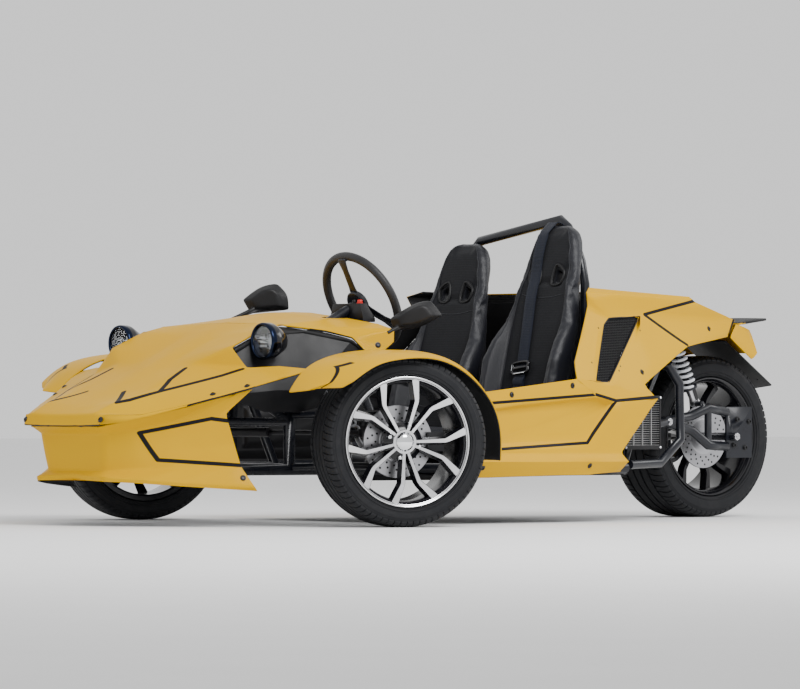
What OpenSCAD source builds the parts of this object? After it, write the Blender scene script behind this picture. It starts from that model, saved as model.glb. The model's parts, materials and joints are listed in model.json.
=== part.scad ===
// Two-seat three-wheeled roadster: two steered wheels in front, one driven wheel behind.
// X points forward, Y to the driver's left, Z up; the origin is on the ground under the middle.

/* [Wheels and track] */
// Distance from the front axle to the rear axle
wheelbase = 1900; // [1850:10:1950]
// Distance between the front tyres' centre planes
front_track = 1400; // [1390:2:1410]
// Outer diameter of a front tyre
front_tyre_d = 537; // [530:1:540]
// Width of a front tyre
front_tyre_w = 196; // [185:1:200]
// Outer diameter of the rear tyre
rear_tyre_d = 558; // [550:1:562]
// Width of the rear tyre
rear_tyre_w = 225; // [215:1:230]
// Diameter of the rims over their flanges
rim_d = 410; // [400:1:414]
// Steering angle in which the car is parked, to the right
parked_steer = 20.5; // [15:0.5:25]

/* [Body] */
// Height of the nose's lower edge above the ground
nose_z = 321; // [315:1:325]
// Thickness of the plastic body panels
panel_t = 4; // [3:0.5:5]
// Half width of the nose's front edge
nose_half_w = 200; // [190:1:210]

/* [Frame] */
// Outer diameter of the main frame tubes
frame_tube_d = 38; // [32:1:42]
// Outer diameter of the roll bar tube
roll_bar_d = 32; // [28:1:36]
// Height of the bottom frame rails' centre line
rail_z = 178; // [174:1:182]

/* [Cockpit] */
// Diameter of the steering wheel over its rim
steering_wheel_d = 350; // [320:5:360]
// Distance of each seat's middle from the car's middle
seat_y = 235; // [230:1:240]
// How much higher the driver's seat is set than the passenger's
driver_seat_lift = 50; // [30:5:60]

/* [Hidden] */
$fn = 40;

nose_x = 801;
tail_x = -2198;
axle_x = -(nose_x + tail_x) / 2;
front_axle_z = front_tyre_d / 2;
rear_axle_z = rear_tyre_d / 2;
half_track = front_track / 2;
kingpin_offset = 40;
kingpin_x = -kingpin_offset * sin(parked_steer);
kingpin_y = half_track - kingpin_offset * cos(parked_steer);
axle_pin_r = 14;
running_gap = 0.05;
black = [0.07, 0.07, 0.08];
yellow = [0.92, 0.70, 0.13];
silver = [0.75, 0.76, 0.78];

// ---- helpers ----

// Everything is drawn from the point on the ground below the front axle, then moved to the origin.
module car() translate([axle_x, 0, 0]) children();

module mirrored() {
    children();
    mirror([0, 1, 0]) children();
}

function unit(v) = v / norm(v);
function flip_y(p) = [p.x, -p.y, p.z];

// Splits polygons into triangles that fan out from their first corner.
function fans(faces) = [for (f = faces) for (i = [1 : len(f) - 2]) [f[0], f[i], f[i + 1]]];
function tri_normal(p, t) = cross(p[t[1]] - p[t[0]], p[t[2]] - p[t[0]]);
function has(t, i) = t[0] == i || t[1] == i || t[2] == i;
function sum(v, i = 0) = i == len(v) - 1 ? v[i] : v[i] + sum(v, i + 1);
function corner_normal(p, tris, i) =
    let (ns = [for (t = tris) if (has(t, i)) tri_normal(p, t)])
    len(ns) == 0 ? [0, 0, 1] : unit(sum(ns));
function follows(t, a, b) =
    (t[0] == a && t[1] == b) || (t[1] == a && t[2] == b) || (t[2] == a && t[0] == b);
function is_rim(tris, a, b) = len([for (t = tris) if (follows(t, b, a)) 1]) == 0;

// A panel of even thickness: points on its outer side, faces counter-clockwise from outside.
module panel(points, faces, t = panel_t) {
    tris = fans(faces);
    n = len(points);
    inner = [for (i = [0 : n - 1]) points[i] - t * corner_normal(points, tris, i)];
    walls = [for (f = tris) for (k = [0 : 2])
        let (a = f[k], b = f[(k + 1) % 3])
        if (is_rim(tris, a, b)) each [[b + n, a + n, a], [b + n, a, b]]];
    polyhedron(
        concat(points, inner),
        concat([for (f = tris) [f[2], f[1], f[0]]], [for (f = tris) f + [n, n, n]], walls));
}

// Doubles a left half whose middle points have y = 0 into a whole panel.
function whole_points(p) = concat(p, [for (q = p) flip_y(q)]);
function whole_faces(p, faces) = concat(faces, [for (f = faces)
    [for (i = [len(f) - 1 : -1 : 0]) p[f[i]].y == 0 ? f[i] : f[i] + len(p)]]);
module whole_panel(p, faces, t = panel_t) panel(whole_points(p), whole_faces(p, faces), t);

// Quads of a grid of points, rows following each other from first, counter-clockwise from outside.
function grid(first, rows, columns, stride = 0) =
    let (s = stride == 0 ? columns : stride)
    [for (i = [0 : rows - 2]) for (j = [0 : columns - 2])
        [first + i * s + j, first + i * s + j + 1, first + (i + 1) * s + j + 1, first + (i + 1) * s + j]];

// Tubes follow a path of points, with a mitre at each bend.
tube_sides = 16;
function seg(path, i) = unit(path[i + 1] - path[i]);
function bend_normal(path, i) =
    i == 0 ? seg(path, 0)
    : i == len(path) - 1 ? seg(path, i - 1)
    : unit(seg(path, i - 1) + seg(path, i));
function slide_to(points, dir, at, n) = [for (p = points) p + dir * ((at - p) * n) / (dir * n)];
function first_ring(path, r) =
    let (d = seg(path, 0), u = unit(cross(d, abs(d.z) < 0.9 ? [0, 0, 1] : [1, 0, 0])), v = cross(d, u))
    [for (k = [0 : tube_sides - 1]) let (a = 360 * (k + 0.5) / tube_sides)
        path[0] + r * (cos(a) * u + sin(a) * v)];
function rings(path, r, i = 0, last = []) =
    let (ring = i == 0 ? first_ring(path, r) : slide_to(last, seg(path, i - 1), path[i], bend_normal(path, i)))
    i == len(path) - 1 ? ring : concat(ring, rings(path, r, i + 1, ring));
module tube_path(path, r) {
    m = tube_sides;
    last = (len(path) - 1) * m;
    polyhedron(rings(path, r), concat(
        [[for (k = [0 : m - 1]) k], [for (k = [m - 1 : -1 : 0]) last + k]],
        [for (i = [0 : len(path) - 2]) for (k = [0 : m - 1]) let (n = (k + 1) % m)
            [(i + 1) * m + k, (i + 1) * m + n, i * m + n, i * m + k]]));
}
module tube(a, b, r) tube_path([a, b], r);

// ---- frame ----

frame_r = frame_tube_d / 2;
rail_y = 300;
sill_y = 520;
tower_x = 120;
hoop_x = -1142;
hoop_y = 300;

module frame_front() car() color(black) {
    mirrored() {
        tube_path([[560, 150, rail_z], [330, rail_y, rail_z], [-300, rail_y, rail_z]], frame_r);
        tube([tower_x, rail_y, rail_z], [tower_x, rail_y, 500], frame_r);
        tube([430, 262, 330], [tower_x, rail_y, 330], frame_r * 0.7);
        tube([tower_x, rail_y, 330], [300, 290, 430], frame_r * 0.7);
        tube_path([[tower_x, rail_y, 500], [-tower_x, rail_y, 560], [-300, rail_y, rail_z]], frame_r * 0.8);
        tube([-tower_x, rail_y, rail_z], [-tower_x, rail_y, 560], frame_r * 0.8);
    }
    tube([560, -150, rail_z], [560, 150, rail_z], frame_r);
    tube([tower_x, -rail_y, 500], [tower_x, rail_y, 500], frame_r * 0.8);
    tube([-tower_x, -rail_y, 560], [-tower_x, rail_y, 560], frame_r * 0.8);
    tube([-tower_x, -rail_y, rail_z], [-tower_x, rail_y, rail_z], frame_r * 0.8);
}

module frame_floor() car() color(black) {
    mirrored() {
        tube_path([[-330, rail_y, rail_z], [-420, sill_y, rail_z], [-1120, sill_y, rail_z],
            [-1240, 380, rail_z]], frame_r);
    }
    for (x = [-1000, hoop_x]) tube([x, 30 - sill_y, rail_z], [x, sill_y - 30, rail_z], frame_r * 0.8);
    tube([-420, -sill_y, rail_z], [-420, sill_y, rail_z], frame_r * 0.8);
    tube([-1000, 0, rail_z], [-330, 0, rail_z], frame_r * 0.8);
}

module frame_rear() car() color(black) {
    mirrored() {
        tube_path([[-1260, 360, rail_z], [-1330, 330, 300], [-1330, 300, 640], [hoop_x, hoop_y, 640]],
            frame_r * 0.8);
        tube([hoop_x, hoop_y, 640], [hoop_x, hoop_y, rail_z], frame_r * 0.8);
        tube_path([[-1330, 300, 640], [-1640, 190, 660], [-1900, 150, 640]], frame_r * 0.7);
        tube([-1330, 330, 300], [-1640, 190, 640], frame_r * 0.6);
        tube([-1330, 330, 300], [pivot.x, pivot.y + 20, pivot.z], frame_r * 0.7);
    }
    tube([-1330, -300, 640], [-1330, 300, 640], frame_r * 0.8);
    tube([-1640, -190, 660], [-1640, 190, 660], frame_r * 0.7);
    tube([-1900, -150, 640], [-1900, 150, 640], frame_r * 0.7);
    tube([-1260, -360, rail_z], [-1260, 360, rail_z], frame_r * 0.8);
}

module floor_pan() car() color(black) {
    translate([0, 0, rail_z - frame_r - 4]) linear_extrude(4) polygon([
        [-310, -rail_y], [-310, rail_y], [-420, sill_y + 40], [-1120, sill_y], [-1280, 360],
        [-1280, -360], [-1120, -sill_y], [-420, -sill_y - 40]]);
}

// ---- front bodywork ----

// Rows run from the nose to the rear; columns from the middle line to the outer edge.
hood_half = [
    [nose_x, 0, nose_z - 3], [nose_x, 90, nose_z - 3], [nose_x, 130, nose_z - 2],
    [nose_x, 165, nose_z - 1], [nose_x, nose_half_w, nose_z],
    [794, 0, 352], [794, 90, 352], [794, 130, 354], [794, 165, 356], [790, 205, 352],
    [735, 0, 382], [735, 90, 382], [730, 140, 386], [721, 181, 393], [716, 300, 352],
    [638, 0, 422], [638, 90, 420], [615, 180, 428], [595, 250, 431], [600, 392, 384],
    [448, 0, 512], [448, 87, 506], [430, 200, 513], [420, 346, 480], [466, 478, 428],
    [367, 0, 552], [367, 88, 547], [367, 314, 568], [355, 378, 501], [353, 561, 470],
    [244, 0, 612], [244, 88, 608], [244, 309, 622],
    [150, 0, 648], [150, 88, 646], [165, 306, 640],
    [273, 606, 496], [305, 480, 506]];
hood_faces = concat(grid(0, 6, 5), [
    [25, 26, 31, 30], [26, 27, 32, 31], [30, 31, 34, 33], [31, 32, 35, 34], [28, 29, 36, 37]]);

module hood() car() color(yellow) whole_panel(hood_half, hood_faces);

cowl_half = [
    [144, 0, 649], [144, 88, 647], [160, 306, 640],
    [-47, 0, 686], [-47, 88, 683], [-30, 300, 660], [0, 400, 632], [40, 385, 622],
    [-134, 0, 688], [-134, 88, 685], [-138, 300, 662], [-146, 420, 645], [-148, 500, 627],
    [-17, 450, 600], [-46, 480, 556], [-103, 500, 556], [-143, 505, 586], [100, 350, 631]];
cowl_faces = [
    [0, 1, 4, 3], [1, 2, 5, 4], [2, 17, 5], [17, 7, 5], [7, 6, 5], [3, 4, 9, 8], [4, 5, 10, 9],
    [5, 6, 11, 10], [6, 13, 12, 11], [7, 13, 6], [13, 14, 15], [13, 15, 16], [13, 16, 12]];

// A notch in the cowl's rear edge lets the steering column through.
module dash_cowl() car() color(yellow) difference() {
    whole_panel(cowl_half, cowl_faces);
    on_column() translate([0, 0, -260]) cylinder(h = 240, r = column_r + 9);
}

bumper_half = [
    [790, 0, 313], [788, 180, 313], [712, 285, 338], [600, 375, 374], [466, 462, 417], [420, 490, 432],
    [757, 0, 290], [756, 170, 291], [700, 245, 305], [615, 318, 325], [505, 400, 340], [478, 430, 356],
    [750, 0, 230], [750, 161, 230], [690, 240, 240], [610, 310, 248], [500, 390, 255], [440, 425, 262],
    [741, 0, 176], [741, 151, 175], [672, 245, 182], [590, 330, 184], [480, 410, 188], [425, 440, 190],
    [752, 0, 160], [769, 174, 156], [690, 285, 148], [600, 360, 140], [490, 430, 132], [402, 484, 124],
    [748, 0, 146], [767, 172, 142], [688, 282, 136], [598, 357, 128], [488, 427, 120], [392, 481, 113]];
module nose_bumper() car() color(yellow) whole_panel(bumper_half, [for (f = grid(0, 6, 6))
    [f[3], f[2], f[1], f[0]]]);

shell_left = [
    [352, 316, 548], [238, 312, 604], [100, 345, 616], [-17, 440, 585], [-60, 470, 548],
    [345, 330, 440], [240, 380, 430], [110, 400, 430], [0, 420, 440], [-60, 440, 480],
    [420, 340, 412], [260, 350, 360], [120, 350, 360], [20, 360, 380], [-60, 380, 440]];
// Each shell has a hole for its shock.
module inner_shells() car() color(black) mirrored() difference() {
    panel(shell_left, [for (f = grid(0, 3, 5)) [f[3], f[2], f[1], f[0]]], 3);
    tube(shock_top, shock_foot, shock_r + 12);
}

headlight_x = 262;
headlight_y = 377;
headlight_z = 585;
headlight_d = 118;
headlight_len = 84;
module headlights() car() color(black) mirrored() translate([headlight_x, headlight_y, headlight_z])
    rotate([0, 90, 0]) union() {
        cylinder(h = headlight_len * 0.4, d = headlight_d);
        translate([0, 0, -headlight_len * 0.6]) cylinder(h = headlight_len * 0.6, d1 = headlight_d * 0.55,
            d2 = headlight_d);
    }

// Fender stations: angle round the wheel, then radius of the crown and of the outer rim.
fender_inner_y = 588;
fender_crown_y = 735;
fender_rim_y = 832;
fender_left = [
    [372, 612, 424], [369, 700, 430], [326, 722, 436], [304, 790, 438],
    [330, 600, 470], [318, 700, 472], [300, 765, 462], [283, 820, 458],
    [268, fender_inner_y, 515], [262, 712, 514], [235, 790, 512], [214, fender_rim_y, 506],
    [160, fender_inner_y, 549], [157, 722, 549], [150, 800, 541], [142, fender_rim_y, 526],
    [14, fender_inner_y, 562], [14, fender_crown_y, 562], [14, 808, 551], [14, fender_rim_y, 538],
    [-91, fender_inner_y, 555], [-91, 745, 555], [-90, 808, 544], [-89, fender_rim_y, 526],
    [-186, fender_inner_y, 516], [-186, 752, 516], [-183, 808, 506], [-179, fender_rim_y, 486],
    [-265, 600, 453], [-265, 757, 453], [-262, 808, 444], [-258, 826, 428],
    [-315, 610, 385], [-315, 757, 385], [-313, 800, 378], [-312, 818, 366],
    [-350, 620, 300], [-350, 745, 300], [-350, 785, 298], [-348, 800, 290],
    [-366, 630, 210], [-366, 725, 210], [-366, 760, 210], [-364, 775, 208]];
module fender() panel(fender_left, grid(0, 11, 4));
module front_fender_left() car() color(yellow) fender();
module front_fender_right() car() color(yellow) mirror([0, 1, 0]) fender();

// ---- side and rear bodywork ----

// Rows run from the sill's lower edge up to the cockpit edge; columns from front to rear.
recess_in = 16;
side_left = [
    [-380, 612, 150], [-420, 612, 151], [-905, 590, 158], [-1067, 560, 166],
    [-380, 652, 203], [-420, 650, 203], [-905, 610, 201], [-1088, 580, 200],
    [-380, 636, 230], [-420, 635, 230], [-905, 590, 227], [-1072, 566, 226],
    [-380, 638, 238], [-425, 636, 238], [-903, 588, 250], [-1075, 564, 236],
    [-395, 648, 376], [-430, 645, 376], [-929, 597, 414], [-1039, 578, 396],
    [-380, 650, 425], [-425, 642, 428], [-837, 605, 471], [-1274, 518, 407]];
side_faces = concat(
    grid(0, 4, 4),
    [[12, 13, 17, 16], [14, 15, 19], [15, 23, 19], [16, 17, 21, 20], [17, 18, 22, 21]]);

recess_left = [
    [-425, 636, 238], [-903, 588, 250], [-1039, 578, 396], [-929, 597, 414], [-430, 645, 376],
    [-435, 636 - recess_in, 262], [-890, 590 - recess_in, 272], [-1000, 578 - recess_in, 388],
    [-925, 592 - recess_in, 400], [-440, 642 - recess_in, 364]];
recess_faces = [[0, 1, 6, 5], [1, 2, 7, 6], [2, 3, 8, 7], [3, 4, 9, 8], [4, 0, 5, 9], [5, 6, 7, 8, 9]];

module side_panel() {
    panel(side_left, side_faces);
    panel(recess_left, recess_faces);
}
module side_panel_left() car() color(yellow) side_panel();
module side_panel_right() car() color(yellow) mirror([0, 1, 0]) side_panel();

// The quarter: 0 to 3 meet the side panel, 7 to 11 go round the vent, 12 to 16 are the cockpit edge.
quarter_left = [
    [-837, 605, 471], [-929, 597, 414], [-1039, 578, 396], [-1274, 518, 407],
    [-1215, 514, 454], [-1546, 370, 587], [-1336, 379, 692],
    [-1309, 390, 685], [-1122, 442, 676], [-1081, 463, 652], [-941, 581, 462], [-1021, 560, 462],
    [-1020, 453, 714], [-951, 505, 633], [-853, 576, 527], [-1003, 466, 757], [-1045, 428, 775],
    [-1620, 300, 755], [-1643, 300, 738], [-1923, 200, 681], [-1862, 230, 622]];
quarter_faces = [
    [0, 1, 11, 10], [1, 2, 11], [2, 3, 4], [2, 4, 11], [0, 10, 14], [14, 10, 9], [14, 9, 13],
    [13, 9, 8, 12], [11, 4, 7], [4, 5, 6], [4, 6, 7], [12, 8, 15], [8, 7, 6, 15],
    [15, 6, 18], [15, 18, 17], [15, 17, 16], [6, 5, 20], [6, 20, 19], [6, 19, 18]];
quarter_normal = [-0.233, 0.894, 0.383];

module rear_quarter_left() car() color(yellow) panel(quarter_left, quarter_faces);
module rear_quarter_right() car() color(yellow) mirror([0, 1, 0]) panel(quarter_left, quarter_faces);

mesh_depth = 9;
module vent_meshes() car() color(black) mirrored() panel(
    [for (i = [7 : 11]) quarter_left[i] - mesh_depth * quarter_normal], [[0, 1, 2, 3, 4]], 3);

deck_half = [
    [-1172, 0, 765], [-1172, 394, 766], [-1330, 0, 758], [-1330, 360, 759],
    [-1620, 0, 748], [-1620, 292, 748], [-1921, 0, 672], [-1921, 194, 674]];
module rear_deck() car() color(yellow) whole_panel(deck_half, grid(0, 4, 2));

tail_half = [
    [-1874, 230, 620], [-2004, 202, 545], [-2054, 182, 568], [-2026, 172, 648], [-1930, 200, 667],
    [-2054, 0, 570], [-2026, 0, 650], [-1930, 0, 669]];
tail_faces = [[0, 1, 2, 3, 4], [2, 5, 6, 3], [4, 3, 6, 7]];
spoiler_half = [
    [-1948, 0, 678], [-1946, 192, 672], [-2010, 195, 680], [-2104, 172, 690], [-2085, 0, 694]];
module tail_fins() car() {
    color(yellow) whole_panel(tail_half, tail_faces);
    color(black) whole_panel(spoiler_half, [[0, 1, 2, 3, 4]], 9);
}

mudguard_slope = 34.8;
mudguard_half_w = 112;
mudguard_len = 268;
mudguard_point = 286;
plate_hole_r = 3;
plate_hole_spacing = 150;
module mudguard() car() color(black) translate([-1960, 0, 608]) rotate([0, -mudguard_slope, 0])
    linear_extrude(5) difference() {
        polygon([[0, -mudguard_half_w], [0, mudguard_half_w], [-mudguard_len, mudguard_half_w],
            [-mudguard_point, 0], [-mudguard_len, -mudguard_half_w]]);
        for (y = [-0.5, 0.5]) translate([-230, y * plate_hole_spacing]) circle(plate_hole_r);
    }

// ---- cockpit ----

module seat_bulkhead() car() color(black) translate([-1168, 0, 0]) rotate([90, 0, 90])
    linear_extrude(4) polygon([
        [-470, rail_z + 22], [470, rail_z + 22], [480, 400], [380, 735], [-380, 735], [-480, 400]]);

seat_recline = 13.5;
seat_back_t = 50;
seat_base_z = 330;
// Half widths of the seat back at heights above its foot.
seat_outline = [[185, 0], [188, 200], [177, 310], [157, 405], [142, 460], [127, 536], [114, 600],
    [97, 645], [74, 672], [42, 687]];
slot_z = 505;
slot_y = 48;
module seat() {
    translate([-915, 0, seat_base_z]) rotate([0, -seat_recline, 0]) {
        translate([-seat_back_t, 0, 0]) rotate([90, 0, 90]) linear_extrude(seat_back_t) difference() {
            polygon(concat(seat_outline, [for (i = [len(seat_outline) - 1 : -1 : 0])
                [-seat_outline[i].x, seat_outline[i].y]]));
            for (s = [-1, 1]) polygon([[s * (slot_y - 22), slot_z - 26], [s * (slot_y + 14), slot_z - 26],
                [s * (slot_y + 22), slot_z + 8], [s * (slot_y - 14), slot_z + 26]]);
        }
        for (s = [-1, 1]) scale([1, s, 1]) polyhedron_wing();
    }
    translate([-915, 0, 0]) seat_cushion();
}
wing_in = 128;
module polyhedron_wing() hull() {
    translate([0, wing_in, 10]) cube([1, 56, 20]);
    translate([70, wing_in + 34, 10]) cube([24, 26, 20]);
    translate([60, wing_in + 30, 220]) cube([20, 24, 20]);
    translate([0, wing_in, 330]) cube([1, 40, 20]);
}
cushion_w = 372;
cushion_len = 430;
module seat_cushion() {
    difference() {
        translate([-30, -cushion_w / 2, 215]) cube([cushion_len, cushion_w, 115]);
        hull() {
            translate([60, -128, 290]) cube([cushion_len, 256, 60]);
            translate([-40, -128, 262]) cube([60, 256, 90]);
        }
    }
}
module driver_seat() car() color(black) translate([0, seat_y, 0]) seat();
module passenger_seat() car() color(black) translate([0, -seat_y, -driver_seat_lift]) seat();

// The hoop behind the seats follows their heights, so it slopes down to the passenger's side.
roll_r = roll_bar_d / 2;
hoop_foot_z = 600;
hoop = [[hoop_y, hoop_foot_z], [hoop_y, 790], [281, 866], [250, 930], [215, 982], [176, 1008],
    [-236, 946], [-272, 915], [-292, 860], [-hoop_y, 790], [-hoop_y, hoop_foot_z]];
module roll_bar() car() color(black) tube_path([for (p = hoop) [hoop_x, p.x, p.y]], roll_r);

// Mirror heads are drawn round their middle, seen from the front, then turned and set on their arms.
mirror_turn = 140.3;
mirror_depth = 34;
mirror_outline_left = [[-82, -10], [3, 46], [49, 46], [85, 0], [10, -46], [-72, -49]];
mirror_outline_right = [[-79, -3], [-20, 46], [36, 52], [72, 16], [75, -36], [-52, -49]];
module mirror_head(outline) rotate([0, 0, mirror_turn]) hull() {
    rotate([90, 0, 0]) linear_extrude(8) polygon(outline);
    translate([0, -mirror_depth, 0]) rotate([90, 0, 0]) linear_extrude(2) polygon(0.62 * outline);
}
module mirror_left() car() color(black) {
    translate([-222, 520, 672]) mirror_head(mirror_outline_left);
    tube([-128, 490, 614], [-200, 506, 650], 7);
}
module mirror_right() car() color(black) {
    translate([-318, -374, 738]) mirror_head(mirror_outline_right);
    tube([-120, -400, 640], [-290, -380, 712], 7);
}

module instrument_pod() car() color(black) difference() {
    hull() {
        translate([-205, 165, 652]) cube([50, 170, 12]);
        translate([-180, 180, 700]) cube([25, 140, 12]);
    }
    on_column() translate([0, 0, -200]) cylinder(h = 200, r = column_r + 1);
}

column_tilt = 27;
wheel_hub = [-221, 250, 722];
column_len = 330;
module on_column() translate(wheel_hub) rotate([0, -90 + column_tilt, 0]) children();
column_r = 17;
module steering_column() car() color(black) on_column()
    translate([0, 0, -column_len]) cylinder(h = column_len - 42, r = column_r);
grip_r = 15;
wheel_r = steering_wheel_d / 2 - grip_r;
module steering_wheel() car() color(black) on_column() {
    rotate_extrude($fn = 64) translate([wheel_r, 0]) circle(grip_r);
    for (a = [0, 120, 240]) rotate([0, 0, a]) translate([20, -16, -22]) cube([wheel_r - 24, 32, 8]);
    for (a = [0, 120, 240]) rotate([0, 0, a]) translate([wheel_r - 10, -16, -22]) cube([8, 32, 22]);
    translate([0, 0, -30]) cylinder(h = 22, r = 44);
}

// ---- front suspension and steering ----

arm_r = 11;
lower_ball_z = 194;
upper_ball_z = 358;
pin_r = 8;
boss_h = 24;
module wishbones() car() color(black) mirrored() {
    for (z = [lower_ball_z, upper_ball_z]) for (s = [-1, 1])
        tube([s * 120, rail_y + (z == lower_ball_z ? 24 : 0), z - 8], [kingpin_x + s * 12, kingpin_y - 12, z], arm_r);
    for (z = [lower_ball_z, upper_ball_z]) translate([kingpin_x, kingpin_y, z - boss_h / 2])
        cylinder(h = boss_h, r = 20);
    tube([-38, shock_foot.y, lower_ball_z - 2], [32, shock_foot.y, lower_ball_z - 2], arm_r);
    translate([kingpin_x, kingpin_y, lower_ball_z]) cylinder(h = upper_ball_z - lower_ball_z, r = pin_r);
}

shock_top = [30, 312, 524];
shock_foot = [0, 560, 205];
shock_r = 26;
module front_shocks() car() color(silver) mirrored() {
    tube(shock_top, shock_foot, 10);
    tube(shock_top + 0.16 * (shock_foot - shock_top), shock_top + 0.76 * (shock_foot - shock_top), shock_r);
}

arm_len = 100;
arm_in = 10;
steer_z = 326;
// Draws with the kingpin as Z axis and the wheel's axis as Y, turned to the parked angle.
module at_kingpin(side) car() translate([kingpin_x, side * kingpin_y, 0]) rotate([0, 0, -parked_steer])
    scale([1, side, 1]) children();
upright_r = 17;
module knuckle(side) at_kingpin(side) difference() {
    union() {
        translate([0, 0, lower_ball_z + boss_h / 2 + 1])
            cylinder(h = upper_ball_z - lower_ball_z - boss_h - 2, r = upright_r);
        translate([0, 0, front_axle_z]) rotate([-90, 0, 0]) cylinder(h = 22, r = 30);
        translate([0, 0, front_axle_z]) rotate([-90, 0, 0]) cylinder(h = 92, r = axle_pin_r);
        translate([0, -14, steer_z - 8]) cube([arm_len, 14, 14]);
        translate([arm_len, -arm_in, steer_z - 8]) cylinder(h = 14, r = 14);
        translate([-112, -4, front_axle_z - 16]) cube([100, 12, 32]);
        translate([-134, -6, front_axle_z - 30]) cube([40, 26, 60]);
        translate([-134, 43, front_axle_z - 30]) cube([40, 14, 60]);
        translate([-148, -6, front_axle_z - 30]) cube([14, 63, 60]);
    }
    translate([0, 0, lower_ball_z]) cylinder(h = upper_ball_z - lower_ball_z, r = pin_r + running_gap);
}
module knuckle_left() color(black) knuckle(1);
module knuckle_right() color(black) knuckle(-1);

function arm_end(side) = [
    kingpin_x + arm_len * cos(parked_steer) - side * arm_in * sin(parked_steer),
    side * kingpin_y - arm_len * sin(parked_steer) - side * arm_in * cos(parked_steer), steer_z - 30];
rack_r = 16;
rack_x = 84;
module steering_rack() car() color(silver) {
    shift = -arm_len * sin(parked_steer);
    tube([rack_x, shift - 190, steer_z - 30], [rack_x, shift + 190, steer_z - 30], rack_r);
    for (s = [-1, 1]) {
        tube([rack_x, shift + s * 190, steer_z - 30], arm_end(s), 8);
        translate(arm_end(s) - [0, 0, 12]) cylinder(h = 24, r = 15);
    }
}

// ---- wheels ----

// Profiles are drawn as radius against distance outward from the wheel's centre plane.
bead_r = 190;
wall = 6;
module rim_barrel(w) rotate_extrude($fn = 96) polygon([
    [bead_r - wall, -w / 2], [rim_d / 2, -w / 2], [rim_d / 2, -w / 2 + 7], [bead_r, -w / 2 + 9],
    [bead_r, w / 2 - 9], [rim_d / 2, w / 2 - 7], [rim_d / 2, w / 2], [bead_r - wall, w / 2]]);
module tyre(w, d, rim_w) rotate_extrude($fn = 96) polygon([
    [bead_r + running_gap, -rim_w / 2 + 10], [rim_d / 2 + 2, -rim_w / 2 + 8], [rim_d / 2 + 20, -w / 2 + 2],
    [d / 2 - 32, -w / 2], [d / 2 - 12, -w / 2 + 7], [d / 2 - 3, -w / 2 + 22], [d / 2, -w / 2 + 40],
    [d / 2, w / 2 - 40], [d / 2 - 3, w / 2 - 22], [d / 2 - 12, w / 2 - 7], [d / 2 - 32, w / 2],
    [rim_d / 2 + 20, w / 2 - 2], [rim_d / 2 + 2, rim_w / 2 - 8], [bead_r + running_gap, rim_w / 2 - 10]]);

front_rim_w = 184;
spoke_in = 40;
spoke_out = 66;
spoke_pairs = 5;
spoke_half_angle = 11;
spoke_kink_angle = 19.5;
module spoke(side) polygon([
    [30 * cos(side * 4), 30 * sin(side * 4)],
    [135 * cos(side * (spoke_half_angle - 3)), 135 * sin(side * (spoke_half_angle - 3))],
    [187 * cos(side * (spoke_kink_angle - 4)), 187 * sin(side * (spoke_kink_angle - 4))],
    [187 * cos(side * (spoke_kink_angle + 4)), 187 * sin(side * (spoke_kink_angle + 4))],
    [130 * cos(side * (spoke_half_angle + 3)), 130 * sin(side * (spoke_half_angle + 3))],
    [30 * cos(side * 28), 30 * sin(side * 28)]]);
// Draws with the wheel's axis along Z, its outer side up.
module at_front_wheel(side) at_kingpin(side) translate([0, kingpin_offset, front_axle_z])
    rotate([-90, 0, 0]) children();
module front_rim(side) at_front_wheel(side) difference() {
    union() {
        rim_barrel(front_rim_w);
        translate([0, 0, spoke_in]) linear_extrude(spoke_out - spoke_in)
            for (k = [0 : spoke_pairs - 1]) for (s = [-1, 1]) rotate(k * 360 / spoke_pairs + 98) spoke(s);
        translate([0, 0, -2]) cylinder(h = spoke_out + 2, r = 40);
    }
    translate([0, 0, -10]) cylinder(h = 62 + running_gap, r = axle_pin_r + running_gap);
}
module front_rim_left() color(silver) front_rim(1);
module front_rim_right() color(silver) front_rim(-1);
module front_tyre_left() color(black) at_front_wheel(1) tyre(front_tyre_w, front_tyre_d, front_rim_w);
module front_tyre_right() color(black) at_front_wheel(-1) tyre(front_tyre_w, front_tyre_d, front_rim_w);
disc_r = 115;
module front_disc(side) at_front_wheel(side) translate([0, 0, -12]) difference() {
    cylinder(h = 9.95, r = disc_r);
    translate([0, 0, -1]) cylinder(h = 12, r = axle_pin_r + running_gap);
}
module brake_disc_left() color(silver) front_disc(1);
module brake_disc_right() color(silver) front_disc(-1);

// ---- engine and rear end ----

module engine() car() color(black) translate([-1490, -150, 215]) cube([270, 300, 290]);

radiator_rear_x = -1345;
module radiator() car() color(silver) translate([-1262, 432, 330]) rotate([0, 0, 8])
    translate([-105, -14, -92]) cube([189, 28, 180]);

guard_r = 15;
module side_guards() car() color(black) mirrored() tube_path([
    [-1390, 340, 540], [-1427, 405, 515], [-1468, 412, 458], [-1473, 412, 270], [-1368, 424, 192],
    [-1190, 470, 188]], guard_r);

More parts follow.
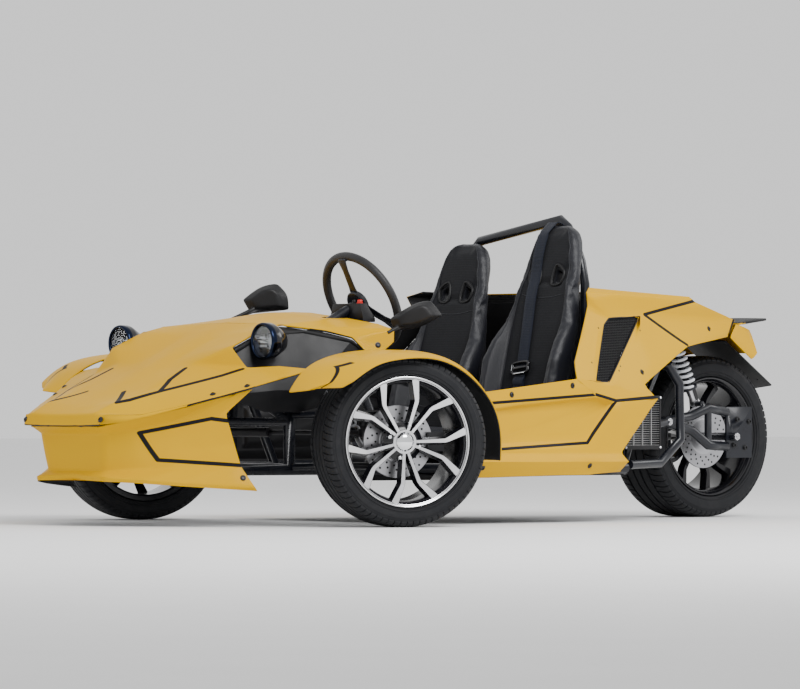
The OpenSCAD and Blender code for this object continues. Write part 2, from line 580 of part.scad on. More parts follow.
arm_tube_r = 16;
arm_y = 200;
pivot = [-1590, arm_y, 330];
module swing_arm() car() color(black) {
    mirrored() {
        tube_path([pivot, [-1720, arm_y, 350], [-1792, arm_y + 6, 378], [-1880, arm_y + 6, 362]], arm_tube_r);
        tube_path([pivot, [-1720, arm_y, 300], [-1792, arm_y + 6, 250], [-1880, arm_y + 6, 245]], arm_tube_r);
        tube([-1792, arm_y + 6, 250], [-1792, arm_y + 6, 378], arm_tube_r * 0.8);
        translate([-1995, arm_y + 2, 206]) cube([120, 8, 176]);
        tube([rear_shock_foot.x, rear_shock_foot.y - 14, rear_shock_foot.z],
            [rear_shock_foot.x, arm_y + 6, rear_shock_foot.z], 9);
        tube([rear_shock_foot.x, arm_y + 4, rear_shock_foot.z], [-1792, arm_y + 6, 372], 9);
    }
    tube([pivot.x, -arm_y - 26, pivot.z], [pivot.x, arm_y + 26, pivot.z], 18);
    translate([-wheelbase, -arm_y - 30, rear_axle_z]) rotate([-90, 0, 0])
        cylinder(h = 2 * arm_y + 60, r = axle_pin_r);
}

rear_shock_top = [-1646, 165, 650];
rear_shock_foot = [-1765, 165, 392];
module rear_shock() car() color(silver) mirrored() {
    tube(rear_shock_top, rear_shock_foot, 9);
    tube(rear_shock_top + 0.2 * (rear_shock_foot - rear_shock_top),
        rear_shock_top + 0.8 * (rear_shock_foot - rear_shock_top), 30);
}

rear_rim_w = 206;
module at_rear_wheel() car() translate([-wheelbase, 0, rear_axle_z]) rotate([-90, 0, 0]) children();
rear_spokes = 10;
module rear_rim() color(black) at_rear_wheel() difference() {
    union() {
        rim_barrel(rear_rim_w);
        translate([0, 0, 20]) linear_extrude(26)
            for (k = [0 : rear_spokes - 1]) rotate(k * 360 / rear_spokes) translate([20, -9]) square([167, 18]);
        translate([0, 0, -60]) cylinder(h = 120, r = 45);
    }
    translate([0, 0, -70]) cylinder(h = 140, r = axle_pin_r + running_gap);
}
module rear_tyre() color(black) at_rear_wheel() tyre(rear_tyre_w, rear_tyre_d, rear_rim_w);
module rear_brake_disc() color(silver) at_rear_wheel() translate([0, 0, 60.05]) difference() {
    cylinder(h = 6, r = 110);
    translate([0, 0, -1]) cylinder(h = 8, r = axle_pin_r + running_gap);
}

frame_front();
frame_floor();
frame_rear();
floor_pan();
nose_bumper();
hood();
dash_cowl();
inner_shells();
headlights();
front_fender_left();
front_fender_right();
side_panel_left();
side_panel_right();
rear_quarter_left();
rear_quarter_right();
vent_meshes();
rear_deck();
tail_fins();
mudguard();
seat_bulkhead();
driver_seat();
passenger_seat();
roll_bar();
mirror_left();
mirror_right();
instrument_pod();
steering_column();
steering_wheel();
steering_rack();
wishbones();
front_shocks();
knuckle_left();
knuckle_right();
front_rim_left();
front_rim_right();
front_tyre_left();
front_tyre_right();
brake_disc_left();
brake_disc_right();
engine();
radiator();
side_guards();
swing_arm();
rear_shock();
rear_rim();
rear_tyre();
rear_brake_disc();
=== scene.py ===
import bmesh
import bpy
import json
import math
from mathutils import Matrix, Vector
from mathutils.bvhtree import BVHTree

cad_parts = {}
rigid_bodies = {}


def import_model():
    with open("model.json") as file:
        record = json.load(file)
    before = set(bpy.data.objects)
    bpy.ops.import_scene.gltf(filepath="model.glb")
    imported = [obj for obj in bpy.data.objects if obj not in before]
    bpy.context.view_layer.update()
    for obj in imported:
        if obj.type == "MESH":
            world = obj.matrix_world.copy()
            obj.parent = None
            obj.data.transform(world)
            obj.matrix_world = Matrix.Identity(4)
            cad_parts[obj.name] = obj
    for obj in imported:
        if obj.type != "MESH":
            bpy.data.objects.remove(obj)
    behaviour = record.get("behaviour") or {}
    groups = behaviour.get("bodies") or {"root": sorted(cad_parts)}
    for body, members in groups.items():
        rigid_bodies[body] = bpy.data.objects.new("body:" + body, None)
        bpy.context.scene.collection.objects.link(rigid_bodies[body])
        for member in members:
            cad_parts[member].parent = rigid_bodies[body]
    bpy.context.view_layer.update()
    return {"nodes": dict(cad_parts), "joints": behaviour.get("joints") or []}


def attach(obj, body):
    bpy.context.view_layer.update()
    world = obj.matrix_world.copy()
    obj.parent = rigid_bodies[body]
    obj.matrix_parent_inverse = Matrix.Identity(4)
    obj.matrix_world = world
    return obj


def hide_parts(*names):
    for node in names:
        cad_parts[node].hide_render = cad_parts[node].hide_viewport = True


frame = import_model()
joints = {j["name"]: j for j in frame["joints"]}
axleX = joints["front_wheel_left_spin"]["pos_m"][0]
up = Vector((0, 0, 1))


# Places are given from the ground point under the front axle, in metres.
def at(x, y, z):
    return Vector((axleX + x, y, z))


# ---- meshes ----

def newPiece(name, mesh):
    piece = bpy.data.objects.new(name, mesh)
    bpy.context.scene.collection.objects.link(piece)
    return piece


def meshPiece(name, verts, faces, smoothAngle=35):
    mesh = bpy.data.meshes.new(name)
    mesh.from_pydata([tuple(v) for v in verts], [], faces)
    mesh.validate()
    piece = newPiece(name, mesh)
    outward(piece)
    smooth(piece, smoothAngle)
    return piece


def editMesh(piece, job):
    bm = bmesh.new()
    bm.from_mesh(piece.data)
    job(bm)
    bm.to_mesh(piece.data)
    bm.free()
    piece.data.update()
    return piece


def outward(piece, merge=1e-6):
    def job(bm):
        bmesh.ops.remove_doubles(bm, verts=bm.verts, dist=merge)
        bmesh.ops.recalc_face_normals(bm, faces=bm.faces)
    return editMesh(piece, job)


def smooth(piece, angle=35):
    piece.data.shade_smooth()
    piece.data.set_sharp_from_angle(angle=math.radians(angle))
    return piece


def addModifier(piece, kind, **values):
    modifier = piece.modifiers.new(kind.title(), kind)
    for key, value in values.items():
        setattr(modifier, key, value)
    return modifier


# The evaluated shape becomes the piece's own plain mesh.
def settle(piece):
    graph = bpy.context.evaluated_depsgraph_get()
    graph.update()
    mesh = bpy.data.meshes.new_from_object(piece.evaluated_get(graph))
    if piece.type != "MESH":
        name = piece.name
        bpy.data.objects.remove(piece)
        piece = newPiece(name, mesh)
        return piece
    piece.modifiers.clear()
    piece.data = mesh
    return piece


def bevel(piece, width, segments=2, angle=32):
    addModifier(piece, "BEVEL", width=width, segments=segments, limit_method="ANGLE",
                angle_limit=math.radians(angle), harden_normals=False)
    return settle(piece)


def place(piece, matrix):
    piece.data.transform(matrix)
    if matrix.determinant() < 0:
        piece.data.flip_normals()
    return piece


def joined(name, pieces):
    bm = bmesh.new()
    materials = []
    for piece in pieces:
        start = len(bm.faces)
        bm.from_mesh(piece.data)
        bm.faces.ensure_lookup_table()
        shift = {}
        for i, material in enumerate(piece.data.materials):
            if material not in materials:
                materials.append(material)
            shift[i] = materials.index(material)
        for face in bm.faces[start:]:
            face.material_index = shift.get(face.material_index, 0)
    mesh = bpy.data.meshes.new(name)
    bm.to_mesh(mesh)
    bm.free()
    for material in materials:
        mesh.materials.append(material)
    for piece in pieces:
        bpy.data.objects.remove(piece)
    return newPiece(name, mesh)


def finish(piece, body, material=None, replaced=()):
    if material is not None:
        piece.data.materials.clear()
        piece.data.materials.append(material)
    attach(piece, body)
    if replaced:
        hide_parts(*([replaced] if isinstance(replaced, str) else replaced))
    return piece


# The second finish goes on the faces that the test picks.
def twoFinishes(piece, first, second, isSecond):
    piece.data.materials.clear()
    piece.data.materials.append(first)
    piece.data.materials.append(second)
    for face in piece.data.polygons:
        face.material_index = 1 if isSecond(face.center, face.normal) else 0
    return piece


# A ring of profile points (radius, height) turned about Z.
def lathe(name, profile, steps=96, closed=True, smoothAngle=35):
    verts = []
    faces = []
    n = len(profile)
    for i in range(steps):
        turn = 2 * math.pi * i / steps
        for radius, height in profile:
            verts.append((radius * math.cos(turn), radius * math.sin(turn), height))
    for i in range(steps):
        j = (i + 1) % steps
        for k in range(n if closed else n - 1):
            m = (k + 1) % n
            faces.append((i * n + k, j * n + k, j * n + m, i * n + m))
    return meshPiece(name, verts, faces, smoothAngle)


# Rings of equal length skinned one after another, with both ends capped.
def loft(name, rings, smoothAngle=35, closedPath=False):
    n = len(rings[0])
    verts = [v for ring in rings for v in ring]
    faces = []
    for i in range(len(rings) if closedPath else len(rings) - 1):
        j = (i + 1) % len(rings)
        faces += [(i * n + k, i * n + (k + 1) % n, j * n + (k + 1) % n, j * n + k) for k in range(n)]
    if not closedPath:
        faces += [tuple(range(n))[::-1], tuple(range(len(verts) - n, len(verts)))]
    return meshPiece(name, verts, faces, smoothAngle)


def box(name, low, high, width=0.002, segments=2):
    (a, b, c), (d, e, f) = low, high
    verts = [(a, b, c), (d, b, c), (d, e, c), (a, e, c), (a, b, f), (d, b, f), (d, e, f), (a, e, f)]
    faces = [(3, 2, 1, 0), (4, 5, 6, 7), (0, 1, 5, 4), (1, 2, 6, 5), (2, 3, 7, 6), (3, 0, 4, 7)]
    return smooth(bevel(meshPiece(name, verts, faces), width, segments), 40)


def plate(name, outline, low, high, width=0.0015, segments=2):
    n = len(outline)
    verts = [(x, y, low) for x, y in outline] + [(x, y, high) for x, y in outline]
    faces = [tuple(range(n))[::-1], tuple(range(n, 2 * n))]
    faces += [(k, (k + 1) % n, n + (k + 1) % n, n + k) for k in range(n)]
    return smooth(bevel(meshPiece(name, verts, faces), width, segments), 40)


# Rounds a chain of points with a Catmull-Rom curve.
def roundedPath(points, steps=6, loop=False):
    points = [Vector(p) for p in points]
    n = len(points)
    spans = n if loop else n - 1
    path = []
    for i in range(spans):
        if loop:
            a, b, c, d = (points[(i + k - 1) % n] for k in range(4))
        else:
            a, b, c, d = points[max(i - 1, 0)], points[i], points[i + 1], points[min(i + 2, n - 1)]
        for s in range(steps):
            t = s / steps
            path.append(0.5 * (2 * b + (c - a) * t + (2 * a - 5 * b + 4 * c - d) * t * t
                               + (3 * b - a - 3 * c + d) * t ** 3))
    if not loop:
        path.append(points[-1])
    return path


def tubeAlong(name, path, radius, sides=12, loop=False, flat=1.0, lift=up):
    rings = []
    n = len(path)
    side = None
    for i, point in enumerate(path):
        if loop:
            ahead = (path[(i + 1) % n] - path[i - 1]).normalized()
        else:
            ahead = (path[min(i + 1, n - 1)] - path[max(i - 1, 0)]).normalized()
        guess = lift.cross(ahead) if side is None else side
        side = (guess - ahead * guess.dot(ahead))
        if side.length < 1e-6:
            side = Vector((1, 0, 0)).cross(ahead)
        side = side.normalized()
        over = ahead.cross(side)
        r = radius(i / max(n - 1, 1)) if callable(radius) else radius
        rings.append([point + r * (math.cos(a) * side + flat * math.sin(a) * over)
                      for a in (2 * math.pi * (k + 0.5) / sides for k in range(sides))])
    return loft(name, rings, 50, loop)


# A copy of a CAD node's mesh, merged, with its flat areas joined again.
def nodeCopy(node, name=None, flatAngle=0.6):
    piece = newPiece(name or node + "_skin", frame["nodes"][node].data.copy())
    piece.data.transform(frame["nodes"][node].matrix_world)

    def job(bm):
        bmesh.ops.remove_doubles(bm, verts=bm.verts, dist=1e-5)
        bmesh.ops.dissolve_limit(bm, verts=bm.verts, edges=bm.edges, angle_limit=math.radians(flatAngle))
    return editMesh(piece, job)


# ---- geometry nodes ----

class Tree:
    def __init__(self, name, inputs):
        self.tree = bpy.data.node_groups.new(name, "GeometryNodeTree")
        self.ids = {}
        face = self.tree.interface
        face.new_socket("Geometry", in_out="INPUT", socket_type="NodeSocketGeometry")
        face.new_socket("Geometry", in_out="OUTPUT", socket_type="NodeSocketGeometry")
        for label, kind in inputs.items():
            self.ids[label] = face.new_socket(label, in_out="INPUT",
                                              socket_type="NodeSocket" + kind).identifier
        self.given = self.tree.nodes.new("NodeGroupInput")
        self.result = self.tree.nodes.new("NodeGroupOutput")

    def input(self, label):
        return self.given.outputs[label]

    def add(self, kind, settings=None, **sockets):
        node = self.tree.nodes.new("GeometryNode" + kind if hasattr(bpy.types,
                                                                    "GeometryNode" + kind) else kind)
        for key, value in (settings or {}).items():
            setattr(node, key, value)
        for key, value in sockets.items():
            socket = node.inputs[int(key[1:])] if key[0] == "i" and key[1:].isdigit() else node.inputs[key]
            if isinstance(value, bpy.types.NodeSocket):
                self.tree.links.new(value, socket)
            else:
                socket.default_value = value
        return node

    def close(self, geometry, material):
        real = self.add("RealizeInstances", Geometry=geometry)
        dressed = self.add("SetMaterial", Geometry=real.outputs[0], Material=material)
        self.tree.links.new(dressed.outputs[0], self.result.inputs[0])
        return self


def grow(name, tree, values, base=None):
    piece = base if base is not None else newPiece(name, bpy.data.meshes.new(name))
    piece.name = name
    modifier = piece.modifiers.new("Nodes", "NODES")
    modifier.node_group = tree.tree
    for label, value in values.items():
        modifier[tree.ids[label]] = value
    return settle(piece)


def ringTree():
    t = Tree("ringOf", {"Shape": "Object", "Count": "Int", "Material": "Material"})
    spots = t.add("Points", Count=t.input("Count"))
    shape = t.add("ObjectInfo", {"transform_space": "ORIGINAL"}, Object=t.input("Shape"))
    index = t.add("InputIndex")
    share = t.add("ShaderNodeMath", {"operation": "DIVIDE"}, i0=index.outputs[0], i1=t.input("Count"))
    turn = t.add("ShaderNodeMath", {"operation": "MULTIPLY"}, i0=share.outputs[0], i1=2 * math.pi)
    euler = t.add("ShaderNodeCombineXYZ", Z=turn.outputs[0])
    made = t.add("InstanceOnPoints", Points=spots.outputs[0], Instance=shape.outputs["Geometry"],
                 Rotation=euler.outputs[0])
    return t.close(made.outputs[0], t.input("Material"))


def spotTree():
    t = Tree("onSpots", {"Shape": "Object", "Size": "Float", "Material": "Material"})
    shape = t.add("ObjectInfo", {"transform_space": "ORIGINAL"}, Object=t.input("Shape"))
    turn = t.add("InputNamedAttribute", {"data_type": "FLOAT_VECTOR"}, Name="turn")
    made = t.add("InstanceOnPoints", Points=t.input("Geometry"), Instance=shape.outputs["Geometry"],
                 Rotation=turn.outputs[0], Scale=t.input("Size"))
    return t.close(made.outputs[0], t.input("Material"))


def springTree():
    t = Tree("coilSpring", {"Turns": "Float", "Radius": "Float", "Wire": "Float", "Length": "Float",
                            "Material": "Material"})
    coil = t.add("CurveSpiral", Resolution=28, Rotations=t.input("Turns"), Height=t.input("Length"))
    for socket in ("Start Radius", "End Radius"):
        t.tree.links.new(t.input("Radius"), coil.inputs[socket])
    wire = t.add("CurvePrimitiveCircle", Resolution=10, Radius=t.input("Wire"))
    mesh = t.add("CurveToMesh", Curve=coil.outputs[0])
    t.tree.links.new(wire.outputs[0], mesh.inputs["Profile Curve"])
    mesh.inputs["Fill Caps"].default_value = True
    soft = t.add("SetShadeSmooth", Geometry=mesh.outputs[0])
    return t.close(soft.outputs[0], t.input("Material"))


def rowTree():
    t = Tree("rowOf", {"Shape": "Object", "Count": "Int", "Step": "Vector", "Material": "Material"})
    line = t.add("MeshLine", {"mode": "OFFSET"}, Count=t.input("Count"), Offset=t.input("Step"))
    shape = t.add("ObjectInfo", {"transform_space": "ORIGINAL"}, Object=t.input("Shape"))
    made = t.add("InstanceOnPoints", Points=line.outputs[0], Instance=shape.outputs["Geometry"])
    return t.close(made.outputs[0], t.input("Material"))


def seamTree():
    t = Tree("stitches", {"Gap": "Float", "Length": "Float", "Thread": "Float", "Material": "Material"})
    spread = t.add("ResampleCurve", {"mode": "LENGTH"}, Curve=t.input("Geometry"), Length=t.input("Gap"))
    thread = t.add("MeshCylinder", Vertices=6, Radius=t.input("Thread"), Depth=t.input("Length"))
    ahead = t.add("InputTangent")
    turn = t.add("FunctionNodeAlignRotationToVector", {"axis": "Z"}, Vector=ahead.outputs[0])
    made = t.add("InstanceOnPoints", Points=spread.outputs[0], Instance=thread.outputs[0],
                 Rotation=turn.outputs[0])
    return t.close(made.outputs[0], t.input("Material"))


trees = {"ring": ringTree(), "spots": spotTree(), "spring": springTree(), "row": rowTree(),
         "seam": seamTree()}


def ringOf(name, shape, count, material):
    piece = grow(name, trees["ring"], {"Shape": shape, "Count": count, "Material": material})
    bpy.data.objects.remove(shape)
    return piece


# Each spot is a place, the way the shape's Z points there, and the way its X leans.
def onSpots(name, shape, spots, material, size=1.0):
    mesh = bpy.data.meshes.new(name)
    mesh.from_pydata([tuple(s[0]) for s in spots], [], [])
    turns = mesh.attributes.new("turn", "FLOAT_VECTOR", "POINT")
    for i, (where, z, lean) in enumerate(spots):
        z = z.normalized()
        x = (lean - z * lean.dot(z)).normalized()
        turns.data[i].vector = Matrix((x, z.cross(x), z)).transposed().to_euler()
    piece = grow(name, trees["spots"], {"Shape": shape, "Size": size, "Material": material},
                 newPiece(name, mesh))
    bpy.data.objects.remove(shape)
    return piece


def rowOf(name, shape, count, step, material):
    piece = grow(name, trees["row"], {"Shape": shape, "Count": count, "Step": step, "Material": material})
    bpy.data.objects.remove(shape)
    return piece


def curvePiece(name, points, loop=False):
    curve = bpy.data.curves.new(name, "CURVE")
    curve.dimensions = "3D"
    spline = curve.splines.new("POLY")
    spline.points.add(len(points) - 1)
    for spot, point in zip(spline.points, points):
        spot.co = (*point, 1)
    spline.use_cyclic_u = loop
    return newPiece(name, curve)


def stitched(name, points, values, material):
    return grow(name, trees["seam"], {"Gap": values["gap"], "Length": values["stitch"],
                                      "Thread": values["thread"], "Material": material},
                curvePiece(name, points))


# ---- materials ----

class Wire:
    def __init__(self, shop, socket):
        self.shop = shop
        self.socket = socket

    def math(self, operation, *others, clamp=False):
        values = dict(enumerate((self,) + others))
        return self.shop.add("ShaderNodeMath", {"operation": operation, "use_clamp": clamp}, values)

    def __add__(self, other):
        return self.math("ADD", other)

    def __sub__(self, other):
        return self.math("SUBTRACT", other)

    def __mul__(self, other):
        return self.math("MULTIPLY", other)

    def __truediv__(self, other):
        return self.math("DIVIDE", other)

    def __rsub__(self, other):
        return self.shop.add("ShaderNodeMath", {"operation": "SUBTRACT"}, {0: other, 1: self})

    def __rtruediv__(self, other):
        return self.shop.add("ShaderNodeMath", {"operation": "DIVIDE"}, {0: other, 1: self})

    __radd__ = __add__
    __rmul__ = __mul__


class Shop:
    def __init__(self, name, **values):
        self.material = bpy.data.materials.new(name)
        self.material.use_nodes = True
        self.tree = self.material.node_tree
        self.shader = self.tree.nodes["Principled BSDF"]
        self.coords = self.add("ShaderNodeTexCoord", out="Object")
        for key, value in values.items():
            self.set(key, value)

    def add(self, kind, settings=None, inputs=None, out=0):
        node = self.tree.nodes.new(kind)
        for key, value in (settings or {}).items():
            setattr(node, key, value)
        for key, value in (inputs or {}).items():
            self.feed(node.inputs[key], value)
        return Wire(self, node.outputs[out])

    def feed(self, socket, value):
        if isinstance(value, Wire):
            self.tree.links.new(value.socket, socket)
        elif isinstance(value, tuple) and len(value) == 3 and socket.type == "RGBA":
            socket.default_value = (*value, 1)
        else:
            socket.default_value = value

    def set(self, name, value):
        self.feed(self.shader.inputs[name], value)

    def noise(self, scale, detail=3, rough=0.5):
        return self.add("ShaderNodeTexNoise", None,
                        {"Vector": self.coords, "Scale": scale, "Detail": detail, "Roughness": rough})

    def mix(self, factor, a, b):
        return self.add("ShaderNodeMix", {"data_type": "RGBA"}, {0: factor, 6: a, 7: b}, out=2)

    def bump(self, height, strength, distance, under=None):
        values = {"Height": height, "Strength": strength, "Distance": distance}
        if under is not None:
            values["Normal"] = under
        made = self.add("ShaderNodeBump", None, values)
        self.set("Normal", made)
        return made

    def vector(self, operation, a, b=None, out=0):
        values = {0: a} if b is None else {0: a, 1: b}
        return self.add("ShaderNodeVectorMath", {"operation": operation}, values, out)


# ---- finishes ----

# 1 on a line drawn in plan or side view, 0 off it; both sides of the car share the lines.
def lineMask(shop, lines, flat, half, edge=0.0008):
    parts = shop.add("ShaderNodeSeparateXYZ", None, {0: shop.coords})
    side = Wire(shop, parts.socket.node.outputs[1]).math("ABSOLUTE")
    both = shop.add("ShaderNodeCombineXYZ", None,
                    {0: parts, 1: side, 2: Wire(shop, parts.socket.node.outputs[2])})
    spot = shop.vector("MULTIPLY", both, Vector(flat))
    nearest = None
    for path in lines:
        for a, b in zip(path, path[1:]):
            a, b = (at(p, q * flat[1], q * flat[2]) for p, q in (a, b))
            along = shop.vector("DOT_PRODUCT", shop.vector("SUBTRACT", spot, a), b - a, out=1)
            share = along.math("MULTIPLY", 1 / (b - a).length_squared, clamp=True)
            foot = shop.add("ShaderNodeVectorMath", {"operation": "MULTIPLY_ADD"}, {0: share, 1: b - a, 2: a})
            gap = shop.vector("DISTANCE", spot, foot, out=1)
            nearest = gap if nearest is None else nearest.math("MINIMUM", gap)
    return ((half - nearest) / edge).math("ADD", 0.5, clamp=True)


paintLook = {"light": (0.66, 0.375, 0.0), "deep": (0.58, 0.305, 0.0), "stripe": (0.012, 0.012, 0.014),
             "peel": 0.0004, "stripeHalf": 0.0048}


def bodyPaint(name, lines=(), flat=(1, 1, 1), half=None):
    shop = Shop(name, **{"Specular IOR Level": 0.02, "Coat Weight": 0.07, "Coat Roughness": 0.05,
                         "Coat IOR": 1.4})
    cloudy = shop.noise(2.3, 2)
    color = shop.mix(cloudy.math("MULTIPLY", 1.0, clamp=True), paintLook["deep"], paintLook["light"])
    rough = 0.3 + shop.noise(9, 4) * 0.14
    if lines:
        mask = lineMask(shop, lines, flat, half or paintLook["stripeHalf"])
        color = shop.mix(mask, color, paintLook["stripe"])
        rough = rough + mask * 0.1
    shop.set("Base Color", color)
    shop.set("Roughness", rough)
    shop.bump(shop.noise(260, 2), 0.12, paintLook["peel"])
    return shop.material


# Powder coat, cast metal, moulded plastic: a base colour broken by fine grain.
def grainy(name, color, rough, grain=700, depth=0.0003, strength=0.35, metallic=0.0, spread=0.35, coat=0.0,
           worn=None):
    shop = Shop(name, **{"Metallic": metallic, "Coat Weight": coat, "Coat Roughness": 0.15,
                         "Specular IOR Level": 0.5 if metallic > 0.5 else 0.28})
    broad = shop.noise(14, 4, 0.6)
    fine = shop.noise(grain, 3, 0.6)
    pale = tuple(c * (1 + spread) + 0.004 * spread for c in color)
    tint = shop.mix(broad, tuple(c * (1 - spread) for c in color), pale)
    if worn is not None:
        spots = shop.add("ShaderNodeMapRange", None, {0: shop.noise(35, 6, 0.7), 1: 0.62, 2: 0.8})
        tint = shop.mix(spots, tint, worn)
    shop.set("Base Color", tint)
    shop.set("Roughness", rough + (broad - 0.5) * 0.25 + (fine - 0.5) * 0.08)
    shop.bump(fine, strength, depth)
    return shop.material


def leather(name, color=(0.0055, 0.006, 0.009)):
    shop = Shop(name, **{"Specular IOR Level": 0.36, "Sheen Weight": 0.03})
    cells = shop.add("ShaderNodeTexVoronoi", {"feature": "DISTANCE_TO_EDGE"},
                     {"Vector": shop.coords, "Scale": 420.0, "Randomness": 1.0})
    broad = shop.noise(11, 4, 0.6)
    creases = cells.math("MULTIPLY", 6, clamp=True)
    shop.set("Base Color", shop.mix(broad, color, tuple(c * 1.9 for c in color)))
    shop.set("Roughness", 0.34 + broad * 0.2 - creases * 0.05)
    under = shop.bump(broad, 0.2, 0.002)
    shop.bump(creases, 0.3, 0.0004, under)
    return shop.material


def wovenMaterial(name, color, pitch=0.0016, rough=0.8):
    shop = Shop(name, **{"Sheen Weight": 0.08, "Sheen Roughness": 0.5, "Specular IOR Level": 0.12})
    threads = []
    for profile, direction in (("SIN", "X"), ("SIN", "Y"), ("SIN", "Z")):
        threads.append(shop.add("ShaderNodeTexWave", {"wave_profile": profile, "bands_direction": direction},
                                {"Vector": shop.coords, "Scale": 0.314 / pitch, "Distortion": 0.0}, out=1))
    weave = (threads[0] * threads[1]).math("MAXIMUM", threads[1] * threads[2])
    weave = weave.math("MAXIMUM", threads[0] * threads[2])
    broad = shop.noise(16, 3)
    tint = shop.mix(weave, tuple(c * 0.45 for c in color), color)
    shop.set("Base Color", shop.mix(broad * 0.4, tint, tuple(c * 1.7 for c in color)))
    shop.set("Roughness", rough - weave * 0.12)
    shop.bump(weave, 0.5, 0.0005)
    return shop.material


def rubber(name):
    shop = Shop(name, **{"Specular IOR Level": 0.25})
    broad = shop.noise(9, 5, 0.65)
    fine = shop.noise(900, 2)
    dust = shop.add("ShaderNodeMapRange", None, {0: shop.noise(24, 6, 0.7), 1: 0.45, 2: 0.85})
    tint = shop.mix(dust, (0.008, 0.0085, 0.0105), (0.017, 0.017, 0.018))
    shop.set("Base Color", tint)
    shop.set("Roughness", 0.5 + broad * 0.28)
    shop.bump(fine, 0.25, 0.0003)
    return shop.material


# Faces cut on a lathe keep fine rings round the wheel's own axis.
def turnedMetal(name, color, rough, centre, axis, pitch=0.0009, strength=0.12):
    shop = Shop(name, **{"Metallic": 1.0})
    away = shop.vector("SUBTRACT", shop.coords, centre)
    along = shop.vector("DOT_PRODUCT", away, axis, out=1)
    reach = shop.vector("LENGTH", away, out=1)
    radius = (reach * reach - along * along).math("SQRT")
    rings = (radius * (2 * math.pi / pitch)).math("SINE") * 0.5 + 0.5
    broad = shop.noise(20, 3)
    shop.set("Base Color", shop.mix(broad, tuple(c * 0.86 for c in color), color))
    shop.set("Roughness", rough + rings * 0.06 + (broad - 0.5) * 0.1)
    shop.bump(rings, strength, 0.0002)
    return shop.material


def glassy(name, color, rough=0.03, transmission=1.0, alpha=1.0):
    shop = Shop(name, **{"Transmission Weight": transmission, "IOR": 1.45, "Alpha": alpha})
    haze = shop.noise(60, 3)
    shop.set("Base Color", shop.mix(haze, color, tuple(min(1, c * 1.05) for c in color)))
    shop.set("Roughness", rough + haze * 0.03)
    return shop.material


blackCoat = grainy("blackCoat", (0.007, 0.008, 0.012), 0.3, 500, 0.0003, 0.25, coat=0.25, spread=0.3)
blackSheet = grainy("blackSheet", (0.008, 0.008, 0.009), 0.55, 800, 0.0004, 0.4)
blackPlastic = grainy("blackPlastic", (0.007, 0.007, 0.008), 0.42, 1100, 0.0005, 0.5)
glossBlack = grainy("glossBlack", (0.005, 0.005, 0.007), 0.16, 300, 0.0001, 0.15, coat=0.4, spread=0.2)
castMetal = grainy("castMetal", (0.11, 0.11, 0.115), 0.5, 420, 0.0008, 0.6, metallic=0.8)
blackCast = grainy("blackCast", (0.02, 0.02, 0.023), 0.45, 380, 0.0007, 0.55, coat=0.1)
zincMetal = grainy("zincMetal", (0.55, 0.55, 0.57), 0.3, 900, 0.0001, 0.15, metallic=1.0, spread=0.15)
chrome = grainy("chromePlate", (0.82, 0.83, 0.85), 0.07, 300, 0.0001, 0.05, metallic=1.0, spread=0.06)
screwBlack = grainy("screwBlack", (0.03, 0.03, 0.032), 0.3, 900, 0.0001, 0.2, metallic=0.7)
springWhite = grainy("springWhite", (0.72, 0.74, 0.78), 0.3, 300, 0.0002, 0.2, coat=0.5, spread=0.1)
redPlastic = grainy("redPlastic", (0.55, 0.015, 0.01), 0.3, 900, 0.0001, 0.2, spread=0.2)
seatLeather = leather("seatLeather")
wheelLeather = leather("wheelLeather", (0.012, 0.012, 0.013))
seatFabric = wovenMaterial("seatFabric", (0.009, 0.0095, 0.012), 0.002)
beltWebbing = wovenMaterial("beltWebbing", (0.010, 0.013, 0.024), 0.0022, 0.6)
threadBlack = wovenMaterial("threadBlack", (0.05, 0.05, 0.055), 0.0008)
tyreRubber = rubber("tyreRubber")
clearGlass = glassy("clearGlass", (0.92, 0.95, 1.0), 0.01, 0.9, 0.16)
lensGlass = glassy("lensGlass", (0.85, 0.92, 1.0), 0.02, 0.6)
blueChrome = grainy("blueChrome", (0.012, 0.018, 0.04), 0.2, 300, 0.0001, 0.1, metallic=1.0, spread=0.2)
finMetal = grainy("finMetal", (0.5, 0.5, 0.5), 0.35, 900, 0.0002, 0.3, metallic=1.0)
print("finishes made")


# ---- body panels ----

# Soft bends between facets come from subdivision; the sharper a fold, the more of it is kept.
panelShape = {"softFold": 3, "hardFold": 17, "levels": 3, "hold": 0.94, "rimFold": 55, "backOff": 0.003}


def softened(piece, values, levels=None):
    def job(bm):
        flat = math.radians(1)
        bmesh.ops.triangulate(bm, faces=[f for f in bm.faces if len(f.verts) > 4])
        bmesh.ops.join_triangles(bm, faces=bm.faces, angle_face_threshold=math.radians(24),
                                 angle_shape_threshold=math.radians(70), cmp_seam=False)
        layer = bm.edges.layers.float.get("crease_edge") or bm.edges.layers.float.new("crease_edge")
        low, high = math.radians(values["softFold"]), math.radians(values["hardFold"])
        for edge in bm.edges:
            angle = edge.calc_face_angle(0)
            if angle > flat:
                edge[layer] = values["hold"] * min(max((angle - low) / (high - low), 0), 1) ** 0.6
        pins = bm.verts.layers.float.get("crease_vert") or bm.verts.layers.float.new("crease_vert")
        rim = math.radians(values["rimFold"])
        for vert in bm.verts:
            vert[pins] = float(any(edge.calc_face_angle(0) > rim for edge in vert.link_edges))
    editMesh(piece, job)
    addModifier(piece, "SUBSURF", levels=levels or values["levels"], render_levels=levels or values["levels"])
    return smooth(settle(piece), 30)


